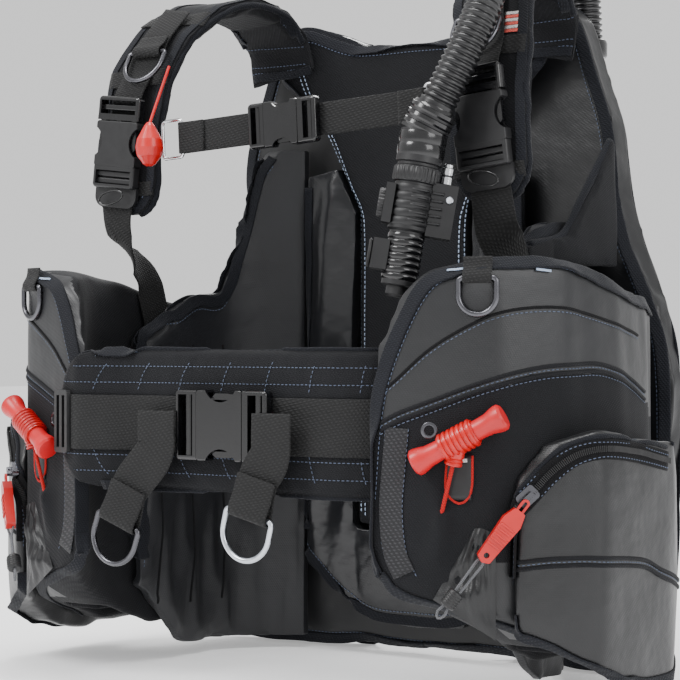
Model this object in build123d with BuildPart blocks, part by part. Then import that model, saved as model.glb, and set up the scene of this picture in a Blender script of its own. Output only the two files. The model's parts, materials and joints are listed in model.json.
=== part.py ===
"""Buoyancy compensator vest: a jacket-style diving vest with a rear air cell, two side pockets, a padded
harness, a cummerbund, side-release buckles, a power inflator and a tank band.

Frame: +X to the wearer's left, -Y to the wearer's front, +Z up. The origin is on the axis of the cylinder that
the tank band holds, at the middle of the band. Positions are given as x, y from the torso's axis and a height h
above the hem, and at(x, y, h) turns them into the frame.
"""
import math
import os

from build123d import *

# Driving dimensions, in millimetres -----------------------------------------------------------------------
TANK_R = 92.0            # radius of the diving cylinder
TANK_Y = 262.0           # cylinder's axis behind the torso's axis
BAND_H = 380.0           # height of the tank band above the hem
TORSO_HALF_WIDTH = 195.0
TORSO_FRONT = -170.0     # inner face of the front wall
TORSO_BACK = 126.0       # inner face of the back wall
TORSO_CORNER = 90.0
SEAT_FRONT = -60.0       # where the side panels start, behind the cummerbund's ends

BELT_H, BELT_WEB, WEB_T = 260.0, 50.0, 2.0
CUMMERBUND_LOW, CUMMERBUND_HIGH = 201.0, 326.0
CHEST_WEB = 30.0
SHOULDER_WEB = 40.0
STRAP_WIDTH, STRAP_T = 80.0, 12.0
HOSE_D = 36.0
RING_WIRE = 2.5          # radius of the D-ring's wire
GAP = 0.5                # clearance between neighbouring pieces

TORSO_DEPTH = TORSO_BACK - TORSO_FRONT
TORSO_MID = (TORSO_BACK + TORSO_FRONT) / 2


def at(x, y, h):
    """A point given from the torso's axis and the hem, in the part's frame."""
    return Vector(x, y - TANK_Y, h - BAND_H)


def plan(h, y=0):
    """Horizontal sketch plane at height h: its x and y are the torso's."""
    return Plane(origin=at(0, y, h))


def front_view(y=0):
    """Vertical sketch plane facing the front: its x is the torso's x and its y is the height."""
    return Plane(origin=at(0, y, 0), x_dir=(1, 0, 0), z_dir=(0, -1, 0))


SIDE_VIEW = Plane(origin=at(0, 0, 0), x_dir=(0, 1, 0), z_dir=(1, 0, 0))


def facing(x, y, h, turn, roll=0):
    """Plane at a point with its normal pointing outwards, turned from the front towards the wearer's left by
    turn degrees. Its x axis runs level to the wearer's left, rolled up by roll degrees."""
    a, r = math.radians(turn), math.radians(roll)
    level = Vector(math.cos(a), math.sin(a), 0)
    return Plane(
        origin=at(x, y, h),
        x_dir=level * math.cos(r) + Vector(0, 0, math.sin(r)),
        z_dir=(math.sin(a), -math.cos(a), 0),
    )


def placed(part, plane):
    """A part that was made about the origin, moved onto a plane."""
    return part.moved(plane.location)


def save(part, name):
    """Labels a finished piece and writes it as its own STEP file."""
    part.label = name
    export_step(part, f"parts/{name}.step")


def save_pair(part, name):
    """Writes a left-hand piece and its mirror image on the right."""
    save(part, f"{name}_left")
    save(mirror(part, about=Plane.YZ), f"{name}_right")


# Shared shapes ---------------------------------------------------------------------------------------------
def torso_ring(inner, outer, low, high):
    """The torso's wall between two offsets from its inner face, as a closed ring."""
    with BuildPart() as ring:
        with BuildSketch(plan(low, TORSO_MID)):
            RectangleRounded(2 * (TORSO_HALF_WIDTH + outer), TORSO_DEPTH + 2 * outer, TORSO_CORNER + outer)
            RectangleRounded(
                2 * (TORSO_HALF_WIDTH + inner), TORSO_DEPTH + 2 * inner, TORSO_CORNER + inner, mode=Mode.SUBTRACT
            )
        extrude(amount=high - low)
    return ring.part


def flat_band(route, width, thickness):
    """A flat band: a ruled loft through a rectangle at each point of the route. A route's entry is a point, the
    band's direction across, and the band's own width there if it differs."""
    points = [at(*entry[0]) for entry in route]
    with BuildPart() as band:
        for i, (point, (_, across, *own_width)) in enumerate(zip(points, route)):
            along = points[min(i + 1, len(points) - 1)] - points[max(i - 1, 0)]
            side = Vector(*across)
            side = (side - along * (side.dot(along) / along.dot(along))).normalized()
            with BuildSketch(Plane(origin=point, x_dir=side, z_dir=along)):
                Rectangle(own_width[0] if own_width else width, thickness)
        loft(ruled=True)
    return band.part


def d_ring(width, depth):
    """A wire D-ring about the origin: its straight bar lies along X and its bow hangs down -Y."""
    drop = depth - width / 2
    with BuildSketch() as outline:
        with BuildLine():
            Polyline((-width / 2, -drop), (-width / 2, 0), (width / 2, 0), (width / 2, -drop))
            ThreePointArc((width / 2, -drop), (0, -depth), (-width / 2, -drop))
        make_face()
        fillet(outline.vertices().group_by(Axis.Y)[-1], 3.5)
    path = outline.sketch.faces()[0].outer_wire()
    with BuildPart() as ring:
        with BuildSketch(Plane(origin=path @ 0, z_dir=path % 0)):
            Circle(RING_WIRE)
        sweep(path=path)
    return ring.part


def ring_loop(web, tab=18):
    """Webbing folded round a D-ring's bar, which lies along X at the origin, with its sewn tab above."""
    bore = RING_WIRE + 0.4
    with BuildPart() as loop:
        with BuildSketch(Plane.YZ.offset(-web / 2)):
            Circle(bore + 1.6)
            with Locations((tab / 2, -bore - 0.4)):
                Rectangle(tab, 2.4)
            Circle(bore, mode=Mode.SUBTRACT)
        extrude(amount=web)
    return loop.part


def buckle_sizes(web):
    """Outer width, thickness, body length and frame length of a side-release buckle for a webbing."""
    return web + 12, 6 + 0.12 * web, 20 + 0.62 * web, 10 + 0.28 * web


def buckle_frame(web, bars=1):
    """The end of a buckle that takes the webbing: a frame from x 0 to its length, with round bars across."""
    width, thick, _, length = buckle_sizes(web)
    rim = 4.0
    with BuildPart() as frame:
        with BuildSketch(Plane.XY.offset(-thick / 2)) as outline:
            with Locations((length / 2, 0)):
                Rectangle(length, width)
            fillet(outline.vertices().group_by(Axis.X)[-1], 4)
            with Locations((length / 2, 0)):
                Rectangle(length - 2 * rim, width - 2 * rim, mode=Mode.SUBTRACT)
        extrude(amount=thick)
        fillet(frame.edges().filter_by(Axis.Y).group_by(Axis.X)[-1], 2.5)
        for bar in range(bars):
            x = length * (bar + 1) / (bars + 1)
            with BuildSketch(Plane(origin=(x, 1 - width / 2, 0), x_dir=(1, 0, 0), z_dir=(0, 1, 0))):
                SlotOverall(thick * 0.6, thick * 0.36)
            extrude(amount=width - 2)
    return frame.part


def buckle_socket(web, bars=1):
    """The socket half of a side-release buckle. Its mouth is at x 0 and opens along +X, z is outwards."""
    width, thick, length, frame_length = buckle_sizes(web)
    wall, back_wall, bite = 2.2, 6.0, width * 0.24
    with BuildPart() as socket:
        with BuildSketch(Plane.XY.offset(-thick / 2)) as outline:
            with Locations((-length / 2, 0)):
                Rectangle(length, width)
            fillet(outline.vertices(), 3)
        extrude(amount=thick)
        fillet(socket.faces().sort_by(Axis.Z)[-1].edges(), 1.2)
        # The cavity takes the latch's arms, and opens at the mouth.
        with BuildSketch(Plane.YZ):
            Rectangle(width - 2 * wall, thick - 2 * wall)
        extrude(amount=-(length - back_wall), mode=Mode.SUBTRACT)
        # Round bites in both sides leave an hourglass plate and show the arms.
        with BuildSketch(Plane.XY.offset(-thick)):
            with Locations((-length * 0.46, width / 2 + bite * 0.55), (-length * 0.46, -width / 2 - bite * 0.55)):
                Circle(bite * 1.25)
        extrude(amount=2 * thick, mode=Mode.SUBTRACT)
        add(buckle_frame(web, bars).moved(Plane(origin=(-length + 0.5, 0, 0), x_dir=(-1, 0, 0)).location))
    return socket.part


def buckle_latch(web):
    """The latch half of a side-release buckle: frame, centre tongue and two arms that lie in the socket."""
    width, thick, length, _ = buckle_sizes(web)
    wall, mouth_gap = 2.2, 0.8
    arm_thick = thick - 2 * wall - 1.0
    outer = width / 2 - wall - 0.6
    arm = 4.5 if web < 40 else 5.5
    with BuildPart() as latch:
        add(buckle_frame(web).moved(Location((mouth_gap + 2, 0, 0))))
        with BuildSketch(Plane.XY.offset(-arm_thick / 2)):
            with Locations((-length * 0.3 + 2, 0)):
                Rectangle(length * 0.6 + 2, web * 0.14)
            for side in (1, -1):
                with BuildLine():
                    Polyline(
                        (mouth_gap + 4, side * outer),
                        (-length * 0.2, side * (outer - 0.8)),
                        (-length * 0.34, side * outer),
                        (-length * 0.6, side * outer),
                        (-length * 0.72, side * (outer - arm)),
                        (-length * 0.3, side * (outer - arm)),
                        (mouth_gap + 4, side * (outer - arm - 2)),
                        close=True,
                    )
                make_face()
        extrude(amount=arm_thick)
        with BuildSketch(Plane.YZ.offset(mouth_gap)):
            RectangleRounded(width, thick, 2)
        extrude(amount=4)
    return latch.part


def curved_slab(half_width, front, back, low, high):
    """A slab behind the wearer's back, between two plan arcs. Each arc is given by its y at the middle and its
    y at half_width."""
    with BuildPart() as slab:
        with BuildSketch(plan(low)):
            with BuildLine():
                ThreePointArc((-half_width, front[1]), (0, front[0]), (half_width, front[1]))
                Line((half_width, front[1]), (half_width, back[1]))
                ThreePointArc((half_width, back[1]), (0, back[0]), (-half_width, back[1]))
                Line((-half_width, back[1]), (-half_width, front[1]))
            make_face()
        extrude(amount=high - low)
    return slab.part


def front_prism(points, radius, inset=0.0, mirrored=True):
    """A prism from front to back through everything, with its outline given as x, height points."""
    if mirrored:
        points = points + [(-x, h) for x, h in reversed(points) if x > 0]
    with BuildPart() as prism:
        with BuildSketch(front_view(400)) as outline:
            with BuildLine():
                Polyline(*points, close=True)
            make_face()
            fillet(outline.vertices(), radius)
            if inset:
                offset(amount=-inset)
        extrude(amount=700)
    return prism.part


def side_prism(points, radius=8):
    """A prism from right to left through everything, with its outline given as y, height points."""
    with BuildPart() as prism:
        with BuildSketch(SIDE_VIEW.offset(-500)) as outline:
            with BuildLine():
                Polyline(*points, close=True)
            make_face()
            fillet(outline.vertices(), radius)
        extrude(amount=1000)
    return prism.part


def rod(start, end, radius):
    """A round rod between two points."""
    a, b = at(*start), at(*end)
    with BuildPart() as piece:
        with BuildSketch(Plane(origin=a, z_dir=b - a)):
            Circle(radius)
        extrude(amount=(b - a).length)
    return piece.part


def turned(profile, plane):
    """A turned piece: its profile is a list of radius, distance points along the plane's normal."""
    with BuildPart() as piece:
        with BuildSketch(Plane.XZ):
            with BuildLine():
                Polyline((0, profile[0][1]), *profile, (0, profile[-1][1]), close=True)
            make_face()
        revolve(axis=Axis.Z)
    return placed(piece.part, plane)


os.makedirs("parts", exist_ok=True)

# Backrest --------------------------------------------------------------------------------------------------
back_slab = curved_slab(170, (126, 110), (142, 126), 0, 700)
back_pad = back_slab & front_prism(
    [(0, 634), (70, 634), (120, 652), (165, 650), (156, 600), (128, 575), (100, 535), (66, 466), (66, 150), (0, 150)],
    6,
)
save(back_pad, "back_pad")

lumbar_pads = back_slab & front_prism(
    [
        (0, 49), (55, 52), (128, 110), (128, 150), (128, 500), (92, 508), (68.5, 462), (68.5, 148), (0, 148),
    ],
    0.4,
)
save(lumbar_pads, "lumbar_pads")

with BuildPart() as back_plate:
    with BuildSketch(front_view(147.5)):
        with Locations((0, 370)):
            RectangleRounded(150, 440, 30)
        with Locations((0, 330), (0, 430)):
            SlotOverall(70, 8, mode=Mode.SUBTRACT)
    extrude(amount=4)
save(back_plate.part, "back_plate")

# Rear air cell ---------------------------------------------------------------------------------------------
WING_OUTLINE = [
    (0, 18), (200, 20), (252, 34), (276, 100), (280, 300), (262, 372), (236, 430), (224, 470), (216, 537),
    (198, 590), (180, 640), (150, 662), (92, 646), (45, 628), (0, 626),
]
WING_HALF, WING_SWEEP = 288.0, 40.0    # the rear surface is swept forwards by this much at its sides


def wing_body(inset):
    """The wing's shape, moved in from its surface all round: thin behind the tank, thick on both sides."""
    with BuildPart() as body:
        add(curved_slab(WING_HALF - inset, (152 + inset, 130 + inset), (190 - inset, 190 - WING_SWEEP - inset), 0, 700))
        with Locations(at(0, 262 - inset, 350)):
            Box(2 * (78 + inset), 200, 800, mode=Mode.SUBTRACT)
    return body.part & front_prism(WING_OUTLINE, 12, inset)


wing_cover = wing_body(0) - wing_body(2.5)
save(wing_cover, "wing_cover")
save(wing_body(3.0), "bladder")


def wing_seat(x, h, out):
    """Plane on the wing's rear surface, its normal outwards and its y axis up, out from the surface."""
    radius = (WING_HALF**2 + WING_SWEEP**2) / (2 * WING_SWEEP)
    normal = Vector(x / radius, math.sqrt(1 - (x / radius) ** 2), 0)
    return Plane(origin=at(0, 190 - radius, h) + normal * (radius + out), x_dir=(-normal.Y, normal.X, 0), z_dir=normal)


# Side panels, gussets and cummerbund ------------------------------------------------------------------------
def side_wall(side, armhole):
    """The torso's wall on one side, with its armhole's edge given as y, height points."""
    profile = [(SEAT_FRONT, 30), *armhole, (170, 530), (170, 30)]
    with BuildPart() as wall:
        add(torso_ring(0.5, 12, 30, 540))
        add(side_prism(profile), mode=Mode.INTERSECT)
        with Locations(at(side * 281, 0, 300)):
            Box(300, 500, 700, mode=Mode.INTERSECT)
    return wall.part


# The vest hangs lower on the right, and a gusset closes the armhole on the left.
left_wall = side_wall(1, [(SEAT_FRONT, 345), (-20, 420), (30, 441), (70, 446), (105, 500), (128, 530)])
right_wall = side_wall(-1, [(SEAT_FRONT, 340), (-3, 368), (23, 380), (64, 384), (86, 438), (101, 507), (112, 530)])
save(Compound([left_wall, right_wall]), "side_panels")

with BuildPart() as gusset:
    with BuildSketch(plan(400)):
        with BuildLine():
            Polyline((210, -10), (215, -11), (226, 126), (221, 127), close=True)
        make_face()
    extrude(amount=140)
    add(
        side_prism([(-10, 405), (-10, 418), (46, 432), (75, 466), (126, 524), (127, 405)], 3),
        mode=Mode.INTERSECT,
    )
save(gusset.part, "underarm_gusset")

cummerbund_front = side_prism([(-260, 190), (-260, 340), (-65, 340), (-65, 190)])
inner_half = torso_ring(0.5, 5.5, CUMMERBUND_LOW, CUMMERBUND_HIGH) & cummerbund_front
inner_half = inner_half & front_prism([(60, 190), (60, 340), (-260, 340), (-260, 190)], 3, mirrored=False)
outer_half = torso_ring(6, 11, CUMMERBUND_LOW, CUMMERBUND_HIGH) & cummerbund_front
outer_half = outer_half & front_prism([(-104, 190), (-104, 340), (260, 340), (260, 190)], 3, mirrored=False)


def plan_prism(points, low, high):
    """A prism between two heights, with its plan given as x, y points."""
    with BuildPart() as prism:
        with BuildSketch(plan(low)):
            with BuildLine():
                Polyline(*points, close=True)
            make_face()
        extrude(amount=high - low)
    return prism.part


# The outer half goes on over the front of the right pocket, to a rounded tip.
FLAP = [(-103.9, -176), (-158, -189.6), (-192, -177.8), (-193.6, -182.5), (-157, -194.8), (-103.9, -181)]
outer_half = outer_half + plan_prism(FLAP, CUMMERBUND_LOW, CUMMERBUND_HIGH)
outer_half = outer_half & front_prism(
    [(-193, CUMMERBUND_LOW), (-193, CUMMERBUND_HIGH), (260, CUMMERBUND_HIGH), (260, CUMMERBUND_LOW)],
    55,
    mirrored=False,
)
save(Compound([inner_half, outer_half]), "cummerbund")

# Waist belt ------------------------------------------------------------------------------------------------
MOUTH_X = 32.0
BELT_Y = TORSO_FRONT - 13.0
belt_half_thick = buckle_sizes(BELT_WEB)[1] / 2
belt_buckle = facing(MOUTH_X, BELT_Y - 1 - GAP - belt_half_thick, BELT_H, 0)
belt_ring = torso_ring(12, 14, BELT_H - BELT_WEB / 2, BELT_H + BELT_WEB / 2)
belt_ring = belt_ring & side_prism([(-260, 190), (-260, 340), (-66, 340), (-66, 190)])
BELT_END = [(-104.3, -182), (-156.6, -196), (-182, -187.2), (-182.7, -189.1), (-156.2, -198.2), (-104.3, -184)]
waist_webbing = Compound([
    belt_ring & front_prism([(MOUTH_X + 18, 190), (MOUTH_X + 18, 340), (260, 340), (260, 190)], 3, mirrored=False),
    belt_ring & front_prism([(-104.4, 190), (-104.4, 340), (-32, 340), (-32, 190)], 3, mirrored=False)
    + plan_prism(BELT_END, BELT_H - BELT_WEB / 2, BELT_H + BELT_WEB / 2),
])
save(waist_webbing, "waist_webbing")
save(placed(buckle_socket(BELT_WEB), belt_buckle), "waist_socket")
save(placed(buckle_latch(BELT_WEB), belt_buckle), "waist_latch")

TAIL_Y = BELT_Y - 1 - GAP - 2 * belt_half_thick - 2


def tail(top, bottom, tilt):
    """A webbing tail that hangs from the belt's buckle, with its D-ring's bar held in the fold at the bottom."""
    c, s = math.cos(math.radians(tilt)), math.sin(math.radians(tilt))
    x, y, h = bottom
    loop = placed(ring_loop(42), Plane(origin=at(x, y, h), x_dir=(c, 0, s), z_dir=(0, -1, 0)))
    across = (c, 0, s)
    route = [(top, (1, 0, 0)), ((top[0], top[1], top[2] - 30), (1, 0, 0.1))]
    route += [((x - d * s, y + 3.0, h + d * c), across) for d in (34, 14)]
    band = flat_band(route, 42, WEB_T)
    ring = placed(d_ring(50, 40), Plane(origin=at(x, y, h), x_dir=(c, 0, s), z_dir=(0, -1, 0)))
    return band + loop, ring


tail_right, tail_ring_right = tail((-62, TAIL_Y, 268), (-104, TAIL_Y - 2, 172), -20)
tail_left, tail_ring_left = tail((66, TAIL_Y, 268), (44, TAIL_Y - 2, 184), -14)
save(tail_right, "waist_tail_right")
save(tail_left, "waist_tail_left")
save(tail_ring_right, "tail_ring_right")
save(tail_ring_left, "tail_ring_left")

# Pockets ---------------------------------------------------------------------------------------------------
PANEL_OUTER = [(158, -188), (262, -152), (302, -98), (313, -30), (303, 38), (285, 86), (246, 128)]
PANEL_INNER_R = TORSO_CORNER + 22
CORNER_X = TORSO_HALF_WIDTH - TORSO_CORNER
FRONT_CORNER_Y, BACK_CORNER_Y = TORSO_FRONT + TORSO_CORNER, TORSO_BACK - TORSO_CORNER


def corner_point(centre_y, angle):
    """A point on the pocket's inner arc round one of the torso's corners."""
    a = math.radians(angle)
    return (CORNER_X + PANEL_INNER_R * math.cos(a), centre_y + PANEL_INNER_R * math.sin(a))


def panel_plan(grow=0.0):
    """The pocket panel's plan, grown outwards by a clearance."""
    with BuildSketch() as face:
        with BuildLine():
            start, end = corner_point(FRONT_CORNER_Y, -62), corner_point(BACK_CORNER_Y, 44)
            outer = FilletPolyline(*PANEL_OUTER, radius=22)
            Line(outer @ 1, end)
            ThreePointArc(end, corner_point(BACK_CORNER_Y, 22), corner_point(BACK_CORNER_Y, 0))
            Line(corner_point(BACK_CORNER_Y, 0), corner_point(FRONT_CORNER_Y, 0))
            ThreePointArc(corner_point(FRONT_CORNER_Y, 0), corner_point(FRONT_CORNER_Y, -28), start)
            Line(start, outer @ 0)
        make_face()
        if grow:
            offset(amount=grow)
    return face.sketch


PANEL_TURN = math.degrees(math.atan2(36, 104))       # the front face of the panel
CARGO_TURN = math.degrees(math.atan2(58, 73))        # the front face of the cargo pocket


def on_panel(x, h, out, roll=0):
    """Plane over the panel's front face, its origin out from the surface."""
    a = math.radians(PANEL_TURN)
    y = -188 + (x - 158) * 36 / 104
    return facing(x + out * math.sin(a), y - out * math.cos(a), h, PANEL_TURN, roll)


def on_cargo(x, h, out, roll=0):
    """Plane over the cargo pocket's front face, its origin out from the surface."""
    a = math.radians(CARGO_TURN)
    y = -160 + (x - 262) * 58 / 73
    return facing(x + out * math.sin(a), y - out * math.cos(a), h, CARGO_TURN, roll)


GUIDE_SEAT = on_panel(215, 172, 3)
HANDLE_SEAT = on_panel(235, 253, 13, 28)
PULL_AXIS = (HANDLE_SEAT.origin - GUIDE_SEAT.origin).normalized()    # the ripcord's line, from guide to handle
CORD_LINE = Plane(origin=GUIDE_SEAT.origin, x_dir=GUIDE_SEAT.z_dir.cross(PULL_AXIS), z_dir=PULL_AXIS)
with BuildPart() as panel:
    with BuildSketch(plan(0)):
        add(panel_plan())
    extrude(amount=500)
    add(
        side_prism([
            (-192, 205), (-184, 285), (-179, 343), (-170, 386), (-152, 400), (-60, 404), (60, 400),
            (125, 385), (125, 74), (60, 54), (-20, 50), (-112, 86), (-172, 118), (-187, 158),
        ]),
        mode=Mode.INTERSECT,
    )
    # The weight pouch's chamber opens downwards, so that the pouch drops out.
    with BuildSketch(plan(20)):
        with Locations((256, -28)):
            RectangleRounded(50, 110, 10)
    extrude(amount=310, mode=Mode.SUBTRACT)
    # A sleeve on the front face guides the ripcord.
    with BuildSketch(CORD_LINE.offset(-22)):
        RectangleRounded(14, 11, 3)
    extrude(amount=44)
    with BuildSketch(CORD_LINE.offset(-18)):
        Circle(2.6)
    extrude(amount=60, mode=Mode.SUBTRACT)
    ring_seat = on_panel(248, 386, 3.5)
    add(placed(ring_loop(24, 10), ring_seat))
save_pair(panel.part, "pocket_panel")
save_pair(placed(d_ring(32, 30), ring_seat), "pocket_ring")

with BuildPart() as pouch:
    with BuildSketch(plan(70)):
        with Locations((256, -28)):
            RectangleRounded(44, 104, 8)
    extrude(amount=250)
save(Compound([pouch.part, mirror(pouch.part, about=Plane.YZ)]), "weight_pouches")

with BuildPart() as cargo:
    with BuildSketch(plan(0)):
        with BuildLine():
            FilletPolyline((262, -160), (335, -102), (341, 18), (306, 80), (255, 0), radius=12, close=True)
        make_face()
        add(panel_plan(GAP), mode=Mode.SUBTRACT)
    extrude(amount=400)
    add(
        side_prism([
            (-166, 104), (-164, 150), (-145, 222), (-124, 250), (-100, 260), (-45, 256), (20, 247), (82, 226),
            (82, 52), (0, 38), (-60, 45), (-128, 76),
        ], 3),
        mode=Mode.INTERSECT,
    )
save_pair(cargo.part.solids().sort_by(SortBy.VOLUME)[-1], "cargo_pocket")

# Ripcord and its handle: the bar lies across the cord's line and slides along it.
with BuildPart() as handle:
    for side in (1, -1):
        with BuildSketch(Plane.YZ.offset(side * 14)):
            Circle(8.5)
        with BuildSketch(Plane.YZ.offset(side * 30)):
            Circle(9)
        with BuildSketch(Plane.YZ.offset(side * 42)):
            Circle(11.5)
        loft()
    with BuildSketch(Plane.YZ.offset(-15)):
        Circle(12)
    extrude(amount=30)
save_pair(placed(handle.part, HANDLE_SEAT), "ripcord_handle")
cord_length = (HANDLE_SEAT.origin - GUIDE_SEAT.origin).length - 20 + 15
with BuildPart() as ripcord:
    with BuildSketch(CORD_LINE.offset(-15)):
        Circle(2)
    extrude(amount=cord_length)
save_pair(ripcord.part, "ripcord")

# Pocket fittings: zip slider, puller, cord and cord lock ----------------------------------------------------
slider_seat = on_cargo(285, 207, 0.5, 42)
with BuildPart() as slider:
    with BuildSketch():
        RectangleRounded(18, 13, 3)
    extrude(amount=6)
    with BuildSketch(Plane.XZ.offset(-2)):
        with Locations((0, 8)):
            Rectangle(9, 5)
            Circle(1.4, mode=Mode.SUBTRACT)
    extrude(amount=4)
save_pair(placed(slider.part, slider_seat), "zipper_slider")

PULL_ROLL = 232.0
pull_seat = on_cargo(283.5, 203.0, 12.4, PULL_ROLL)
with BuildPart() as pull:
    with BuildSketch(Plane.XY.offset(-4.5)):
        with BuildLine():
            Polyline((9, -5), (20, -8.5), (58, -6), (61, 0), (58, 6), (20, 8.5), (9, 5), close=True)
        make_face()
    extrude(amount=9)
    fillet(pull.edges().filter_by(Axis.Z), 2)
    with BuildSketch(Plane.XY.offset(-5)):
        with Locations((54, 0)):
            Circle(2.4)
    extrude(amount=10, mode=Mode.SUBTRACT)
    # A cord loop ties the puller to the slider's bridge.
    with BuildSketch(Plane.XY.offset(-1)):
        with Locations((5.5, 0)):
            SlotOverall(15, 7)
            SlotOverall(11, 3, mode=Mode.SUBTRACT)
    extrude(amount=2)
save_pair(placed(pull.part, pull_seat), "zipper_pull")

with BuildPart() as lock:
    with BuildSketch():
        Circle(6.5)
    extrude(amount=15)
    fillet(lock.edges().filter_by(GeomType.CIRCLE), 2)
    with BuildSketch():
        with Locations((2.1, 0), (-2.1, 0)):
            Circle(1.6)
    extrude(amount=15, mode=Mode.SUBTRACT)
lock_axis = pull_seat.x_dir
lock_seat = Plane(
    origin=pull_seat.origin + lock_axis * 92, x_dir=pull_seat.y_dir, z_dir=lock_axis
)
save_pair(placed(lock.part, lock_seat), "cord_lock")
pull_cords = [
    rod(
        (p.X, p.Y + TANK_Y, p.Z + BAND_H),
        (q.X, q.Y + TANK_Y, q.Z + BAND_H),
        1.2,
    )
    for side in (2.1, -2.1)
    for p, q in [(
        pull_seat.origin + lock_axis * 62 + pull_seat.y_dir * side,
        pull_seat.origin + lock_axis * 118 + pull_seat.y_dir * side,
    )]
]
save_pair(Compound(pull_cords), "pull_cord")

with BuildPart() as belt_slide:
    with BuildSketch():
        RectangleRounded(24, 58, 3)
        with Locations((5, 0), (-5, 0)):
            Rectangle(5, 48, mode=Mode.SUBTRACT)
    extrude(amount=4)
slide_seat = on_panel(176, 260, 9.8)
save(mirror(placed(belt_slide.part, slide_seat), about=Plane.YZ), "belt_slide")

# Shoulder straps -------------------------------------------------------------------------------------------
ACROSS = (1, 0, 0)
shoulder_strap = flat_band(
    [
        ((208, -66, 456), ACROSS, 34), ((208, -66, 461), ACROSS, 58), ((208, -66, 472), ACROSS, 74),
        ((207, -66, 488), ACROSS), ((205, -65, 535), ACROSS), ((200, -52, 595), ACROSS),
        ((188, -30, 636), ACROSS), ((174, 4, 662), ACROSS), ((166, 42, 670), ACROSS),
        ((160, 82, 662), ACROSS), ((157, 104, 640), ACROSS), ((150, 106, 604), ACROSS),
    ],
    STRAP_WIDTH,
    STRAP_T,
)
save_pair(shoulder_strap, "shoulder_strap")

SHOULDER_TILT = math.radians(6.5)
SHOULDER_LINE = (206, -77, 524)


def on_shoulder(h, out):
    """Plane on the shoulder buckle's line at height h: x runs up along the webbing, z is outwards."""
    x, y, h0 = SHOULDER_LINE
    origin = at(x - (h - h0) * math.tan(SHOULDER_TILT), y - out, h)
    return Plane(origin=origin, x_dir=(-math.sin(SHOULDER_TILT), 0, math.cos(SHOULDER_TILT)), z_dir=(0, -1, 0))


def on_line(h, y):
    """Point on the shoulder buckle's line at height h."""
    x, _, h0 = SHOULDER_LINE
    return (x - (h - h0) * math.tan(SHOULDER_TILT), y, h)


shoulder_half_thick = buckle_sizes(SHOULDER_WEB)[1] / 2
shoulder_buckle = on_shoulder(548, 1 + GAP + shoulder_half_thick)
shoulder_latch = placed(buckle_latch(SHOULDER_WEB), shoulder_buckle)
save(Compound([shoulder_latch, mirror(shoulder_latch, about=Plane.YZ)]), "shoulder_latches")
socket = buckle_socket(SHOULDER_WEB, bars=2)
_, socket_thick, socket_length, frame_length = buckle_sizes(SHOULDER_WEB)
with BuildPart() as tabbed_socket:
    add(socket)
    with BuildSketch(Plane.XY.offset(-socket_thick / 2)) as tab:
        with Locations((-socket_length - frame_length - 8, 0)):
            Rectangle(20, SHOULDER_WEB + 12)
        fillet(tab.vertices().group_by(Axis.X)[0], 11)
    extrude(amount=4)
save_pair(placed(tabbed_socket.part, shoulder_buckle), "shoulder_socket")

SIDEWAYS = (0, 1, 0)
lower_web = flat_band(
    [
        (on_line(538, -77), ACROSS), (on_line(456, -77), ACROSS), ((214, -68, 430), (1, 0.25, 0)),
        ((213.5, -48, 412), (0.3, 1, 0)), ((212.5, -30, 392), SIDEWAYS), ((212, -18, 350), SIDEWAYS),
    ],
    SHOULDER_WEB - 1,
    WEB_T,
)
ring_point = (189, -59.5, 617)
upper_web = flat_band(
    [
        (on_line(553, -77), ACROSS), (on_line(574, -75), ACROSS), ((197, -60, 600), ACROSS),
        ((189, -47, 631), ACROSS), ((180, -24, 661), ACROSS),
    ],
    SHOULDER_WEB - 4,
    WEB_T,
)
strap_face = Plane(origin=at(*ring_point), x_dir=(1, 0, 0), z_dir=(0, -0.87, 0.49))
shoulder_ring = placed(d_ring(44, 34), strap_face)
web_loop = placed(ring_loop(34), strap_face)
left_webs = [lower_web, upper_web + web_loop]
save(Compound(left_webs + [mirror(web, about=Plane.YZ) for web in left_webs]), "shoulder_webbing")
save_pair(shoulder_ring, "shoulder_ring")

# Chest strap -----------------------------------------------------------------------------------------------
CHEST_ROLL = 3.0
chest = facing(17, -77, 536, 0, CHEST_ROLL)
chest_half_thick = buckle_sizes(CHEST_WEB)[1] / 2
chest_buckle = facing(12, -77 - 1 - GAP - chest_half_thick, 536, 0, CHEST_ROLL)


def wire_link(length, height):
    """A rectangular wire link that lies from x 0 to its length."""
    with BuildSketch() as outline:
        with Locations((length / 2, 0)):
            RectangleRounded(length, height, 4)
    path = outline.sketch.faces()[0].outer_wire()
    with BuildPart() as link:
        with BuildSketch(Plane(origin=path @ 0, z_dir=path % 0)):
            Circle(1.6)
        sweep(path=path)
    return link.part


def chest_web(start, end):
    """One half of the chest webbing, from start to end along the strap."""
    return placed(
        Box(end - start, CHEST_WEB, WEB_T).moved(Location(((start + end) / 2, 0, 0))), chest
    )


save(Compound([chest_web(-146, -24), chest_web(8, 126)]), "sternum_web")
link_shape = wire_link(24, CHEST_WEB + 6)
save(
    Compound([
        placed(link_shape.moved(Location((-172.5, 0, 0))), chest),
        placed(link_shape.moved(Location((128.5, 0, 0))), chest),
    ]),
    "sternum_links",
)
save(placed(buckle_socket(CHEST_WEB), chest_buckle), "sternum_socket")
save(placed(buckle_latch(CHEST_WEB), chest_buckle), "sternum_latch")

# Tank band, cradle and carrying handle -----------------------------------------------------------------------
with BuildPart() as tank_band:
    with BuildSketch(Plane.XY.offset(-25)):
        Circle(TANK_R + 3)
        Circle(TANK_R, mode=Mode.SUBTRACT)
    extrude(amount=50)
save(tank_band.part, "tank_band")

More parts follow.
